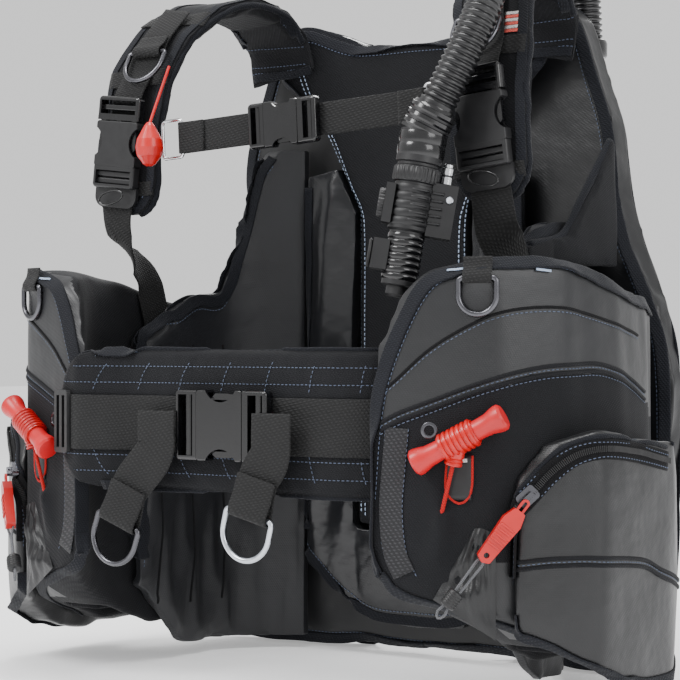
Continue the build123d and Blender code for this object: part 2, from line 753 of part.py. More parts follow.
with BuildPart() as cradle:
    with BuildSketch(plan(300)):
        with Locations((0, 177.5)):
            Rectangle(116, 30)
        with Locations((0, TANK_Y)):
            Circle(TANK_R + 0.4, mode=Mode.SUBTRACT)
    extrude(amount=160)
    with BuildSketch(Plane.XY.offset(-27)):
        Circle(TANK_R + 3.4)
    extrude(amount=54, mode=Mode.SUBTRACT)
    fillet(cradle.edges().filter_by(Axis.X), 3)
save(cradle.part, "tank_cradle")

with BuildPart() as cam_buckle:
    with BuildSketch(Plane.XY.offset(-29)):
        Circle(TANK_R + 6.4)
        Circle(TANK_R + 3.3, mode=Mode.SUBTRACT)
        with Locations((0, -20)):
            Rectangle(300, 190, mode=Mode.SUBTRACT)
    extrude(amount=58)
    for z in (-29, 26):
        with BuildSketch(Plane.XY.offset(z)):
            with Locations((0, TANK_R + 8)):
                RectangleRounded(62, 14, 4)
            Circle(TANK_R + 3.3, mode=Mode.SUBTRACT)
        extrude(amount=3)
    with BuildSketch(Plane.XY.offset(-29)):
        with Locations((24, TANK_R + 10)):
            Circle(2.5)
    extrude(amount=58)
save(cam_buckle.part, "cam_buckle")

with BuildPart() as cam_lever:
    with BuildSketch(Plane.XY.offset(-25.5)):
        with Locations((24, TANK_R + 10)):
            Circle(6)
        with Locations((-6, TANK_R + 12.5)):
            RectangleRounded(64, 7, 3)
        with Locations((24, TANK_R + 10)):
            Circle(3, mode=Mode.SUBTRACT)
    extrude(amount=51)
save(cam_lever.part, "cam_lever")

with BuildPart() as grab_handle:
    with BuildSketch(front_view(168)):
        RectangleRounded(120, 70, 24)
        RectangleRounded(84, 34, 12, mode=Mode.SUBTRACT)
    extrude(amount=5)
grab_part = grab_handle.part.moved(Location((0, 0, 588)))
save(grab_part, "grab_handle")

# Inflator and valves -----------------------------------------------------------------------------------------
ELBOW_X, ELBOW_H = 150.0, 585.0
elbow_seat = wing_seat(ELBOW_X, ELBOW_H, 1.4)
elbow_axis = elbow_seat.origin + elbow_seat.z_dir * 24
with BuildPart() as elbow:
    add(turned([(30, 0), (30, 3), (24, 6), (22, 6), (22, 36), (18, 40)], elbow_seat))
    with BuildSketch(Plane(origin=elbow_axis)):
        Circle(15)
    extrude(amount=33)
save(elbow.part, "inflator_elbow")

INFLATOR_TOP, INFLATOR_TIP = at(173, -122, 515.5), at(157, -140, 378)
HOSE_BENDS = [
    at(154, 204.3, 672), at(155.5, 176, 718), at(160, 126, 745), at(172, 64, 744), at(192, 2, 728),
    at(211, -51, 692), at(221, -89, 640), at(206.5, -109, 583),
]
HOSE_END_AXIS = (INFLATOR_TOP - HOSE_BENDS[-1]).normalized()
HOSE_ROUTE = [
    elbow_axis + Vector(0, 0, 33.6),
    *HOSE_BENDS,
    INFLATOR_TOP - HOSE_END_AXIS * 20,
]


def bend_radii(points):
    """Radius of the arc at each bend: 0.45 of the shorter run beside it, over the tangent of half the turn."""
    radii = []
    for before, here, after in zip(points, points[1:], points[2:]):
        a, b = here - before, after - here
        half_turn = math.radians(a.get_angle(b)) / 2
        radii.append(0.45 * min(a.length, b.length) / math.tan(half_turn))
    return radii


hose_radii = bend_radii(HOSE_ROUTE)
print("hose radii", [round(r, 1) for r in hose_radii])
with BuildPart() as hose:
    with BuildLine():
        hose_path = FilletPolyline(*HOSE_ROUTE, radius=hose_radii)
    with BuildSketch(Plane(origin=hose_path @ 0, z_dir=hose_path % 0)):
        Circle(HOSE_D / 2)
    sweep()
print("hose length", round(hose_path.length, 1), "volume ratio",
      round(hose.part.volume / (math.pi * (HOSE_D / 2) ** 2 * hose_path.length), 4))
save(hose.part, "inflator_hose")

inflator = Plane(
    origin=INFLATOR_TOP, x_dir=(0.82, 0.57, 0.0), z_dir=(INFLATOR_TIP - INFLATOR_TOP).normalized()
)
with BuildPart() as body:
    # The seam of the turned body is kept clear of the blocks on its sides.
    add(
        turned(
            [
                (20, 2), (20, 30), (18, 31), (18, 33), (19.5, 34), (19.5, 47), (17.5, 48), (17.5, 88),
                (15, 90), (15, 136), (8, 138),
            ],
            Plane.XY,
        ).rotate(Axis.Z, 50)
    )
    with Locations((26, 0, 68)):
        Box(22, 20, 46)
    with Locations((-20, 0, 68)):
        Box(8, 26, 34)
    with Locations((-20, 0, 112)):
        Box(14, 20, 26)
    # Bores for the two buttons
    with BuildSketch(Plane(origin=(-25, 0, 68), x_dir=(0, 1, 0), z_dir=(1, 0, 0))):
        Circle(11.5)
    extrude(amount=10, mode=Mode.SUBTRACT)
    with BuildSketch(Plane.XY.offset(126)):
        Circle(10.5)
    extrude(amount=20, mode=Mode.SUBTRACT)
    # Connector nipple for the low-pressure hose
    with BuildSketch(Plane.XY.offset(45)):
        with Locations((26, 0)):
            Circle(5)
    extrude(amount=-14)
cuff = turned([(20, 0), (20, 24)], Plane(origin=HOSE_ROUTE[-1] + HOSE_END_AXIS * GAP, z_dir=HOSE_END_AXIS))
save(placed(body.part, inflator) + cuff, "inflator_body")
button = turned([(11, 5), (11, 13), (9.5, 15)], Plane(origin=(-14, 0, 68), x_dir=(0, 1, 0), z_dir=(-1, 0, 0)))
save(placed(button, inflator), "inflate_button")
save(placed(turned([(10, 132), (10, 144), (8, 146)], Plane.XY), inflator), "deflate_button")

valve_profile = [(28, 0), (28, 5), (25, 9), (22, 9), (22, 16), (19, 18)]
valves = [turned(valve_profile, wing_seat(x, h, 1.2)) for x, h in ((-196, 96), (-150, 600))]
save(Compound(valves), "dump_valves")

knob_profile = [(2.5, 0), (5, 3), (12, 16), (13.5, 24), (12, 32), (6, 40), (3, 42)]
chest_knob = Plane(origin=at(-154, -99, 543), z_dir=(0, 0, -1))
with BuildPart() as shoulder_pull:
    add(turned(knob_profile, chest_knob))
    add(rod((-154, -99, 541), (-157, -66, 600), 1.5))
save(shoulder_pull.part, "shoulder_dump_pull")

with BuildPart() as rear_pull:
    add(turned([(r * 0.8, d * 0.8) for r, d in knob_profile], Plane(origin=at(-200, 199, 62), z_dir=(0, 0, -1))))
    add(rod((-200, 199, 60), (-200, 199, 72), 1.5))
save(rear_pull.part, "rear_dump_pull")
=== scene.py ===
import json
import math
import random

import bmesh
import bpy
import numpy as np
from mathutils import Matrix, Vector
from mathutils.bvhtree import BVHTree

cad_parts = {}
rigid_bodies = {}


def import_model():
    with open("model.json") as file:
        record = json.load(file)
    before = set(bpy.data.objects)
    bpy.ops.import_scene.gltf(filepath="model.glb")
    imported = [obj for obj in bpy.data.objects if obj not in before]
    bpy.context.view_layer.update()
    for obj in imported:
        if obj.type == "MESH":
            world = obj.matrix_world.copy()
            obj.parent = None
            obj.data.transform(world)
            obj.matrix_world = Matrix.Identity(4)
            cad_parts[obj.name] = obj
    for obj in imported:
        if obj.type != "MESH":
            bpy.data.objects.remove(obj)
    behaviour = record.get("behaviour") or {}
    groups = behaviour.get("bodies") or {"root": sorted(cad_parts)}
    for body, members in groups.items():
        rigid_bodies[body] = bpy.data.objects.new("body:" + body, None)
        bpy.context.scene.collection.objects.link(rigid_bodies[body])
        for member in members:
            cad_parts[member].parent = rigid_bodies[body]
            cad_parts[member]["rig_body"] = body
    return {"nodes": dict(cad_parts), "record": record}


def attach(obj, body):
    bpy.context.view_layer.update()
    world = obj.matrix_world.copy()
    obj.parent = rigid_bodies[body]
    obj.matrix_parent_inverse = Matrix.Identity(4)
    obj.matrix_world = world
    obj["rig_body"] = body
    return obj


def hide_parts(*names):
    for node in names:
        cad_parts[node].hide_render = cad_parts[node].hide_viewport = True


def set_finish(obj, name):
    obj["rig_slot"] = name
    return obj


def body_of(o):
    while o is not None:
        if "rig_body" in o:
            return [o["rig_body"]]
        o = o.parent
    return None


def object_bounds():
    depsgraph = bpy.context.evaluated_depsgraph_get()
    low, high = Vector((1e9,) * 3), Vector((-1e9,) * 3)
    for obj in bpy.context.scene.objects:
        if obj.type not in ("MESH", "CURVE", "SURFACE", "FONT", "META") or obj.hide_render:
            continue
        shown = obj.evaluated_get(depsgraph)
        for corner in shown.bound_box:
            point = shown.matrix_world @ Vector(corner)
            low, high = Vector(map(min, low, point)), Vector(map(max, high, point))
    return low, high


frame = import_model()
nodes = frame["nodes"]
cad_low, cad_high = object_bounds()
rng = random.Random(7)

# The part's own datum: x and y from the torso's axis and a height above the hem, in millimetres ---
TANK_Y, BAND_H = 262.0, 380.0
SIDES = ((1, "left"), (-1, "right"))
WING_HALF, WING_SWEEP = 288, 40
BELT_LOW, BELT_HIGH = 201, 326


def at(x, y, h):
    return Vector((x, y - TANK_Y, h - BAND_H)) / 1000


def mirrored(p):
    return Vector((-p[0], p[1], p[2]))


# Materials ----------------------------------------------------------------------------------------
def node_material(name):
    material = bpy.data.materials.new(name)
    material.use_nodes = True
    tree = material.node_tree
    return material, tree, tree.nodes["Principled BSDF"]


def add_node(tree, kind, **values):
    node = tree.nodes.new(kind)
    for key, value in values.items():
        if hasattr(node, key):
            setattr(node, key, value)
        else:
            node.inputs[key.replace("_", " ")].default_value = value
    return node


def noise(tree, coords, scale, detail=4.0):
    node = add_node(tree, "ShaderNodeTexNoise", Scale=scale, Detail=detail)
    tree.links.new(coords, node.inputs["Vector"])
    return node.outputs["Fac"]


def ramp(tree, factor, low, high, start=0.3, end=0.7):
    node = tree.nodes.new("ShaderNodeValToRGB")
    node.color_ramp.elements[0].position, node.color_ramp.elements[1].position = start, end
    node.color_ramp.elements[0].color = (*low, 1)
    node.color_ramp.elements[1].color = (*high, 1)
    tree.links.new(factor, node.inputs["Fac"])
    return node.outputs["Color"]


def shade(color, k):
    return tuple(min(1.0, c * k) for c in color)


def weave(tree, coords, pitch, diagonal=False):
    """Two crossed wave textures: the threads of a cloth, pitch metres apart."""
    mapped = add_node(tree, "ShaderNodeMapping")
    mapped.inputs["Rotation"].default_value = (0.3, 0.2, 0.78 if diagonal else 0.05)
    tree.links.new(coords, mapped.inputs["Vector"])
    waves = []
    for direction in ("DIAGONAL", "Z"):
        wave = add_node(
            tree, "ShaderNodeTexWave", Scale=0.314 / pitch, Distortion=1.2, Detail=1.0
        )
        wave.bands_direction = direction
        wave.inputs["Detail Scale"].default_value = 2.0
        tree.links.new(mapped.outputs["Vector"], wave.inputs["Vector"])
        waves.append(wave.outputs["Fac"])
    both = add_node(tree, "ShaderNodeMath", operation="MULTIPLY")
    tree.links.new(waves[0], both.inputs[0])
    tree.links.new(waves[1], both.inputs[1])
    return both.outputs["Value"]


def cloth_material(name, color, pitch=0.0016, rough=0.8, sheen=0.25, bump=0.5, spread=1.7, crumple=0.0):
    """Woven cloth: threads in the bump and colour, patchy fade, and soft crumples where asked."""
    material, tree, shader = node_material(name)
    coords = add_node(tree, "ShaderNodeTexCoord").outputs["Object"]
    threads = weave(tree, coords, pitch)
    patches = noise(tree, coords, 14.0)
    base = ramp(tree, patches, shade(color, 0.75), shade(color, 1.3))
    thread_tint = ramp(tree, threads, shade(color, 0.62), shade(color, spread), 0.1, 0.9)
    mix = add_node(tree, "ShaderNodeMix", data_type="RGBA")
    mix.inputs["Factor"].default_value = 0.55
    tree.links.new(base, mix.inputs["A"])
    tree.links.new(thread_tint, mix.inputs["B"])
    tree.links.new(mix.outputs["Result"], shader.inputs["Base Color"])
    shader.inputs["Roughness"].default_value = rough
    shader.inputs["Sheen Weight"].default_value = sheen * 0.18
    shader.inputs["Specular IOR Level"].default_value = 0.5 if rough < 0.5 else 0.22
    shader.inputs["Sheen Roughness"].default_value = 0.45
    fine = add_node(tree, "ShaderNodeBump", Strength=bump, Distance=0.0006)
    tree.links.new(threads, fine.inputs["Height"])
    if crumple:
        folds = add_node(tree, "ShaderNodeBump", Strength=crumple, Distance=0.006)
        tree.links.new(noise(tree, coords, 22.0, 3.0), folds.inputs["Height"])
        tree.links.new(folds.outputs["Normal"], fine.inputs["Normal"])
    tree.links.new(fine.outputs["Normal"], shader.inputs["Normal"])
    return material


def moulded_material(name, color, rough, grain=0.15, scale=900.0, metal=0.0, coat=0.0, scuffs=0.15):
    """Moulded plastic, rubber or metal: fine grain in the bump, and uneven roughness."""
    material, tree, shader = node_material(name)
    coords = add_node(tree, "ShaderNodeTexCoord").outputs["Object"]
    tint = ramp(tree, noise(tree, coords, 30.0), shade(color, 0.85), shade(color, 1.2))
    tree.links.new(tint, shader.inputs["Base Color"])
    worn = ramp(tree, noise(tree, coords, 120.0, 8.0), (rough * (1 - scuffs),) * 3,
        (min(1, rough * (1 + scuffs)),) * 3)
    tree.links.new(worn, shader.inputs["Roughness"])
    shader.inputs["Metallic"].default_value = metal
    shader.inputs["Coat Weight"].default_value = coat
    bump = add_node(tree, "ShaderNodeBump", Strength=grain, Distance=0.0003)
    tree.links.new(noise(tree, coords, scale, 2.0), bump.inputs["Height"])
    tree.links.new(bump.outputs["Normal"], shader.inputs["Normal"])
    return material


BLACK = (0.0055, 0.0055, 0.0064)
M = {
    "nylon": cloth_material("nylon_weave", (0.0062, 0.0065, 0.0082), crumple=0.25),
    "coated_nylon": cloth_material("coated_nylon", (0.0050, 0.0053, 0.0064), rough=0.40, sheen=0.1, bump=0.15,
    spread=1.3, crumple=0.45),
    "satin": cloth_material("satin_coated", (0.0082, 0.0087, 0.0104), rough=0.42, sheen=0.1, bump=0.12,
    spread=1.2, crumple=0.35),
    "gloss_coated": cloth_material("gloss_coated", (0.0115, 0.0120, 0.0140), rough=0.25, sheen=0.1, bump=0.08,
    spread=1.2, crumple=0.5),
    # The side walls' coated nylon, made lighter because the walls sit in shadow: painted light over their
    # shade
    "wall_cloth_painted_light": cloth_material("wall_cloth_painted_light", (0.0120, 0.0125, 0.0150), rough=0.45, sheen=0.15, bump=0.25,
    spread=1.3, crumple=0.45),
    "lining": cloth_material("soft_lining", (0.004, 0.004, 0.0048), rough=0.9, sheen=0.15, crumple=0.3),
    "inner_cell": cloth_material("inner_cell", (0.0062, 0.0065, 0.0082)),
    "webbing": cloth_material("webbing_weave", (0.0125, 0.0125, 0.0128), pitch=0.0024, rough=0.75, sheen=0.3,
    bump=0.9, spread=1.9),
    "binding": cloth_material("binding_tape", (0.0066, 0.0075, 0.0110), pitch=0.0018, rough=0.8, sheen=0.3,
    bump=0.7),
    "mesh_cloth": cloth_material("mesh_cloth", (0.020, 0.020, 0.022), pitch=0.0026, rough=0.6, bump=1.0,
    spread=3.0),
    "thread": cloth_material("thread", (0.085, 0.105, 0.155), pitch=0.0009, rough=0.7),
    "pale_thread": cloth_material("pale_thread", (0.36, 0.44, 0.58), pitch=0.0009, rough=0.6),
    "grey_cord": cloth_material("grey_cord", (0.12, 0.122, 0.13), pitch=0.0012),
    "coral_cloth": cloth_material("coral_cloth", (0.62, 0.10, 0.08), pitch=0.0012),
    "white_cloth": cloth_material("white_cloth", (0.55, 0.53, 0.52), pitch=0.0012),
    "red_cord": cloth_material("red_cord", (0.42, 0.010, 0.009), pitch=0.0012),
    "black_plastic": moulded_material("black_plastic", BLACK, 0.45),
    "gloss_plastic": moulded_material("gloss_plastic", (0.0035, 0.0035, 0.0042), 0.20, grain=0.08, coat=0.3),
    "red_plastic": moulded_material("red_plastic", (0.47, 0.004, 0.003), 0.32, grain=0.1, coat=0.15),
    "pink_plastic": moulded_material("pink_plastic", (0.52, 0.007, 0.011), 0.36, grain=0.12),
    "rubber": moulded_material("black_rubber", (0.005, 0.005, 0.0056), 0.55),
    "hose_rubber": moulded_material("hose_rubber", (0.0042, 0.0042, 0.005), 0.34, coat=0.15),
    "dark_steel": moulded_material("dark_steel", (0.10, 0.10, 0.11), 0.28, metal=1.0, scale=300.0),
    "chrome": moulded_material("bright_wire", (0.70, 0.71, 0.73), 0.15, metal=1.0),
    "aluminium": moulded_material("satin_aluminium", (0.62, 0.65, 0.70), 0.32, metal=1.0, scale=200.0,
    scuffs=0.3),
}

record_slot = {s["node"]: s["material_slot"] for s in frame["record"]["subparts"]}
for node_name, node in nodes.items():
    node.data.materials.clear()
    node.data.materials.append(M[record_slot[node_name]])


# Mesh tools ---------------------------------------------------------------------------------------
body_of_node = {n: b for b, ns in frame["record"]["behaviour"]["bodies"].items() for n in ns}


def piece(name, verts, faces, material, body="harness", smooth=True, slot=None):
    """A mesh piece that rides on a body, or on the body of a CAD node with that name."""
    mesh = bpy.data.meshes.new(name)
    mesh.from_pydata([tuple(v) for v in verts], [], [tuple(f) for f in faces])
    mesh.materials.append(M[material])
    if smooth:
        mesh.shade_smooth()
    obj = bpy.data.objects.new(name, mesh)
    bpy.context.scene.collection.objects.link(obj)
    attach(obj, body_of_node.get(body, body))
    if slot:
        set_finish(obj, slot)
    return obj


def smooth_path(points, step=0.004):
    """Catmull-Rom curve through the points, about step metres between its points."""
    points = [Vector(p) for p in points]
    ends = [points[0] * 2 - points[1]] + points + [points[-1] * 2 - points[-2]]
    path = []
    for a, b, c, d in zip(ends, ends[1:], ends[2:], ends[3:]):
        n = max(2, int((c - b).length / step))
        for i in range(n):
            t = i / n
            path.append(
                0.5 * ((2 * b) + (c - a) * t + (2 * a - 5 * b + 4 * c - d) * t * t + (
                3 * b - 3 * c + d - a) * t**3)
            )
    path.append(points[-1])
    return path


def spaced(values, count):
    """Values read off a list at count even places."""
    n = len(values) - 1
    out = []
    for i in range(count):
        t = n * i / max(1, count - 1)
        k = min(int(t), n - 1)
        out.append(values[k].lerp(values[k + 1], t - k))
    return out


def sections(path, across, outline, closed_ends=True):
    """Verts and faces of an outline swept along a path. across gives each point's sideways direction."""
    verts, faces = [], []
    n = len(outline)
    for i, p in enumerate(path):
        along = (path[min(i + 1, len(path) - 1)] - path[max(i - 1, 0)]).normalized()
        side = across[i] - along * across[i].dot(along)
        side = side.normalized() if side.length > 1e-6 else along.orthogonal().normalized()
        up = side.cross(along)
        verts += [p + side * a + up * b for a, b in outline]
    for i in range(len(path) - 1):
        for j in range(n):
            a, b = i * n + j, i * n + (j + 1) % n
            faces.append((a, b, b + n, a + n))
    if closed_ends:
        faces.append(tuple(reversed(range(n))))
        faces.append(tuple(range(len(verts) - n, len(verts))))
    return verts, faces


def flat_outline(width, thickness, n=5):
    """A flat band's section with rounded edges."""
    r = thickness / 2
    out = []
    for side in (1, -1):
        for i in range(n + 1):
            a = math.pi * (i / n - 0.5)
            out.append((side * (width / 2 - r + r * math.cos(a)), side * r * math.sin(a)))
        for i in range(1, 4):
            out.append((side * (width / 2 - r) * (1 - i / 2), side * r))
    return out


def ribbon(name, points, across, width, thickness, material, body="harness", step=0.004, slot=None):
    """A flat strap along a smooth path. across is one direction, or one for each point."""
    path = smooth_path(points, step)
    sides = [Vector(a) for a in across] if isinstance(across[0],
        (tuple, list, Vector)) else [Vector(across)] * 2
    sides = spaced(sides, len(path))
    verts, faces = sections(path, sides, flat_outline(width, thickness))
    return piece(name, verts, faces, material, body, slot=slot)


def round_outline(radius, n=10):
    return [
        (radius * math.cos(2 * math.pi * i / n), radius * math.sin(2 * math.pi * i / n)) for i in range(n)
    ]


def tube(name, points, radius, material, body="harness", step=0.004, n=10, slot=None):
    path = smooth_path(points, step)
    verts, faces = sections(path, [Vector((0.31, 0.2, 0.93))] * len(path), round_outline(radius, n))
    return piece(name, verts, faces, material, body, slot=slot)


def surface_of(*objects):
    """A search tree over the shown surface of some objects, in the row frame."""
    verts, faces = [], []
    depsgraph = bpy.context.evaluated_depsgraph_get()
    for obj in objects:
        mesh = obj.evaluated_get(depsgraph).to_mesh()
        base = len(verts)
        verts += [v.co.copy() for v in mesh.vertices]
        faces += [[base + i for i in p.vertices] for p in mesh.polygons]
    return BVHTree.FromPolygons(verts, faces)


def onto(tree, points, lift=0.0):
    """Points moved onto the nearest surface, lifted off it, with the surface's normals."""
    placed, normals = [], []
    for p in points:
        spot, normal, _, _ = tree.find_nearest(Vector(p))
        placed.append(spot + normal * lift)
        normals.append(normal)
    return placed, normals


def stitch_geometry(path, normals, pitch, length, width):
    """Short raised threads along a path: verts and faces."""
    verts, faces = [], []
    travelled, target = 0.0, pitch / 2
    for a, b, n in zip(path, path[1:], normals):
        step = (b - a).length
        while step and travelled + step >= target:
            centre = a.lerp(b, (target - travelled) / step)
            along = (b - a).normalized()
            side = along.cross(n).normalized()
            base = len(verts)
            for s, w, up in ((-0.5, 0.35, 0), (-0.3, 1, 0.5), (0.3, 1, 0.5), (0.5, 0.35, 0)):
                spot = centre + along * length * s + n * width * up
                verts += [spot - side * width * w / 2, spot + side * width * w / 2]
            faces += [(base + 2 * i, base + 2 * i + 1, base + 2 * i + 3, base + 2 * i + 2) for i in range(3)]
            target += pitch
        travelled += step
    return verts, faces


def stitches(name, tree, lines, material="thread", body="harness", lift=0.0006, pitch=0.0042, length=0.0028,
        width=0.0009):
    """Rows of stitches laid on a surface."""
    verts, faces = [], []
    for line in lines:
        path, normals = onto(tree, smooth_path(line), lift)
        v, f = stitch_geometry(path, normals, pitch, length, width)
        faces += [tuple(i + len(verts) for i in face) for face in f]
        verts += v
    return piece(name, verts, faces, material, body)


def tape(name, tree, line, width, material="binding", body="harness", thickness=0.0014, lift=0.0006,
        step=0.004):
    """A flat tape sewn on a surface along a line."""
    path, normals = onto(tree, smooth_path(line, step), lift)
    normals = [sum((normals[max(0, min(len(normals) - 1, i + k))] for k in (-2, -1, 0, 1, 2)), Vector())
        for i in range(len(normals))]
    sides = []
    for i, n in enumerate(normals):
        along = path[min(i + 1, len(path) - 1)] - path[max(i - 1, 0)]
        sides.append(along.cross(n).normalized())
    verts, faces = sections(path, sides, flat_outline(width, thickness))
    return piece(name, verts, faces, material, body)


def cord_on(name, tree, line, radius, material, body="harness", lift=0.0, step=0.003):
    """Round piping along a line on a surface."""
    path, _ = onto(tree, smooth_path(line, step), lift)
    verts, faces = sections(path, [Vector((0.31, 0.2, 0.93))] * len(path), round_outline(radius, 8))
    return piece(name, verts, faces, material, body)


# Padded and sewn pieces ---------------------------------------------------------------------------
def soft(name, source, material, voxel=0.006, pressure=4.0, cap=0.008, slack=0.04, inward=0.002,
         wrinkle=0.0, frames=20, drop_inner=False):
    """A sewn piece: the CAD solid's shape, remeshed, and blown up a little as cloth within its cap."""
    bm = bmesh.new()
    for node_name in source:
        bm.from_mesh(nodes[node_name].data)
    bmesh.ops.remove_doubles(bm, verts=bm.verts, dist=1e-5)
    if drop_inner:
        islands, seen = [], set()
        for v in bm.verts:
            if v in seen:
                continue
            stack, group = [v], []
            seen.add(v)
            while stack:
                w = stack.pop()
                group.append(w)
                for e in w.link_edges:
                    o = e.other_vert(w)
                    if o not in seen:
                        seen.add(o)
                        stack.append(o)
            islands.append(group)
        spans = [(max(v.co.z for v in g) - min(v.co.z for v in g), i) for i, g in enumerate(islands)]
        outer = max(spans)[1]
        bmesh.ops.delete(bm, geom=[v for i, g in enumerate(islands) if i != outer for v in g],
            context="VERTS")
    mesh = bpy.data.meshes.new(name)
    bm.to_mesh(mesh)
    bm.free()
    obj = bpy.data.objects.new(name, mesh)
    bpy.context.scene.collection.objects.link(obj)
    bpy.context.view_layer.objects.active = obj
    mesh.remesh_voxel_size = voxel
    mesh.remesh_voxel_adaptivity = 0
    bpy.ops.object.voxel_remesh()
    mesh = obj.data
    mesh.update()
    rest = np.empty(len(mesh.vertices) * 3)
    mesh.vertices.foreach_get("co", rest)
    rest = rest.reshape(-1, 3)
    normals = np.empty(len(mesh.vertices) * 3)
    mesh.vertices.foreach_get("normal", normals)
    start = rest - normals.reshape(-1, 3) * inward
    if wrinkle:
        waves = np.array([
            sum(math.sin(Vector(p).dot(Vector(d)) * f + ph) for d, f, ph in WRINKLES) for p in rest
        ])
        start = start + normals.reshape(-1, 3) * (waves * wrinkle / len(WRINKLES))[:, None]
    mesh.vertices.foreach_set("co", start.ravel())
    modifier = obj.modifiers.new("cloth", "CLOTH")
    cloth = modifier.settings
    cloth.quality = 4
    cloth.mass = 0.25
    cloth.use_pressure = True
    cloth.uniform_pressure_force = pressure
    cloth.shrink_min = -slack
    cloth.tension_stiffness = cloth.compression_stiffness = 20
    cloth.bending_stiffness = 0.6
    cloth.effector_weights.gravity = 0
    modifier.collision_settings.use_collision = False
    scene = bpy.context.scene
    for f in range(1, frames + 1):
        scene.frame_set(f)
    depsgraph = bpy.context.evaluated_depsgraph_get()
    moved = np.empty(len(rest) * 3)
    obj.evaluated_get(depsgraph).data.vertices.foreach_get("co", moved)
    obj.modifiers.clear()
    scene.frame_set(1)
    shift = moved.reshape(-1, 3) - start
    far = np.maximum(np.linalg.norm(shift, axis=1, keepdims=True), 1e-9)
    start = start + shift * np.minimum(1.0, cap / far)
    mesh.vertices.foreach_set("co", start.ravel())
    mesh.materials.clear()
    mesh.materials.append(M[material])
    mesh.shade_smooth()
    subdivision = obj.modifiers.new("subdivision", "SUBSURF")
    subdivision.levels = subdivision.render_levels = 1
    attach(obj, body_of_node[source[0]])
    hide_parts(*source)
    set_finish(obj, record_slot[source[0]])
    return obj


WRINKLES = [
    ((rng.uniform(-1, 1), rng.uniform(-1, 1), rng.uniform(-1, 1)), rng.uniform(60, 190), rng.uniform(0, 6.28))
    for _ in range(7)
]


def mirror_piece(obj, name, body, replaces=()):
    """The same piece on the wearer's other side."""
    mesh = obj.data.copy()
    mesh.name = name
    for v in mesh.vertices:
        v.co.x = -v.co.x
    mesh.flip_normals()
    new = bpy.data.objects.new(name, mesh)
    bpy.context.scene.collection.objects.link(new)
    for m in obj.modifiers:
        copy = new.modifiers.new(m.name, m.type)
        if m.type == "SUBSURF":
            copy.levels = copy.render_levels = m.render_levels
    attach(new, body_of_node.get(body, body))
    if replaces:
        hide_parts(*replaces)
    return new


def other_side(*objects):
    for obj in objects:
        body = body_of(obj)[0]
        twin = mirror_piece(obj, obj.name.replace("_left", "") + "_right", body.replace("left", "right"))
        if "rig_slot" in obj:
            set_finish(twin, obj["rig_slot"])


def paint(obj, material, rule):
    """Gives the faces that the rule picks, by centre and normal, a second material."""
    obj.data.materials.append(M[material])
    index = len(obj.data.materials) - 1
    for p in obj.data.polygons:
        if rule(p.center, p.normal):
            p.material_index = index


def seat(x, y, h, turn, roll=0.0):
    """A place on the object with its own axes: across, up and outwards, in millimetres."""
    a, r = math.radians(turn), math.radians(roll)
    along = Vector((math.cos(a), math.sin(a), 0)) * math.cos(r) + Vector((0, 0, math.sin(r)))
    out = Vector((math.sin(a), -math.cos(a), 0))
    up = out.cross(along)
    origin = at(x, y, h)
    return lambda p, q, s=0.0: origin + (along * p + up * q + out * s) / 1000


PANEL_TURN, CARGO_TURN = math.degrees(math.atan2(36, 104)), math.degrees(math.atan2(58, 73))


def on_face(x, h, out, roll, turn, x0, y0, slope):
    a = math.radians(turn)
    return seat(x + out * math.sin(a), y0 + (x - x0) * slope - out * math.cos(a), h, turn, roll)


def on_panel(x, h, out, roll=0.0):
    return on_face(x, h, out, roll, PANEL_TURN, 158, -188, 36 / 104)


def on_cargo(x, h, out, roll=0.0):
    return on_face(x, h, out, roll, CARGO_TURN, 262, -160, 58 / 73)


def lathe(name, profile, origin, axis, material, body="harness", segments=48, flutes=0, depth=0.0, slot=None):
    """A turned piece along an axis: radius and distance in millimetres, with flutes round it if asked."""
    axis = Vector(axis).normalized()
    u = axis.orthogonal().normalized()
    v = axis.cross(u)
    verts, faces = [], []
    for r, d in profile:
        for i in range(segments):
            a = 2 * math.pi * i / segments
            k = r - (depth * (0.5 + 0.5 * math.cos(flutes * a)) if flutes else 0)
            verts.append(Vector(origin) + (axis * d + (u * math.cos(a) + v * math.sin(a)) * k) / 1000)
    for i in range(len(profile) - 1):
        for j in range(segments):
            a, b = i * segments + j, i * segments + (j + 1) % segments
            faces.append((a, b, b + segments, a + segments))
    faces.append(tuple(reversed(range(segments))))
    faces.append(tuple(range(len(verts) - segments, len(verts))))
    obj = piece(name, verts, faces, material, body, slot=slot)
    obj.data.set_sharp_from_angle(angle=math.radians(38))
    return obj


# Camera, light and floor --------------------------------------------------------------------------
scene = bpy.context.scene
camera_data = bpy.data.cameras.new("camera")
camera_data.lens, camera_data.sensor_width = 111.2, 36.0
camera = bpy.data.objects.new("camera", camera_data)
scene.collection.objects.link(camera)
camera.location = (1.147, -1.900, -0.045)
camera.rotation_euler = Vector((-0.574, 0.819, 0.0)).to_track_quat("-Z", "Y").to_euler()
scene.camera = camera


def area_light(name, place, target, size, power):
    data = bpy.data.lights.new(name, "AREA")
    data.size, data.energy = size, power
    light = bpy.data.objects.new(name, data)
    scene.collection.objects.link(light)
    light.location = place
    light.rotation_euler = (Vector(target) - Vector(place)).to_track_quat("-Z", "Y").to_euler()


area_light("key", (-1.0, -2.2, 1.9), (0, -0.3, 0.0), 1.1, 62)
area_light("fill", (2.6, -1.0, 1.0), (0, -0.2, 0.0), 1.4, 30)
area_light("top", (0.1, -0.5, 2.4), (0, -0.25, 0.0), 1.0, 42)
area_light("back", (-0.8, 1.9, 1.6), (0, 0, 0.1), 1.2, 45)
world = bpy.data.worlds.new("studio")
world.use_nodes = True
world.node_tree.nodes["Background"].inputs["Color"].default_value = (1, 1, 1, 1)
world.node_tree.nodes["Background"].inputs["Strength"].default_value = 1.0
scene.world = world

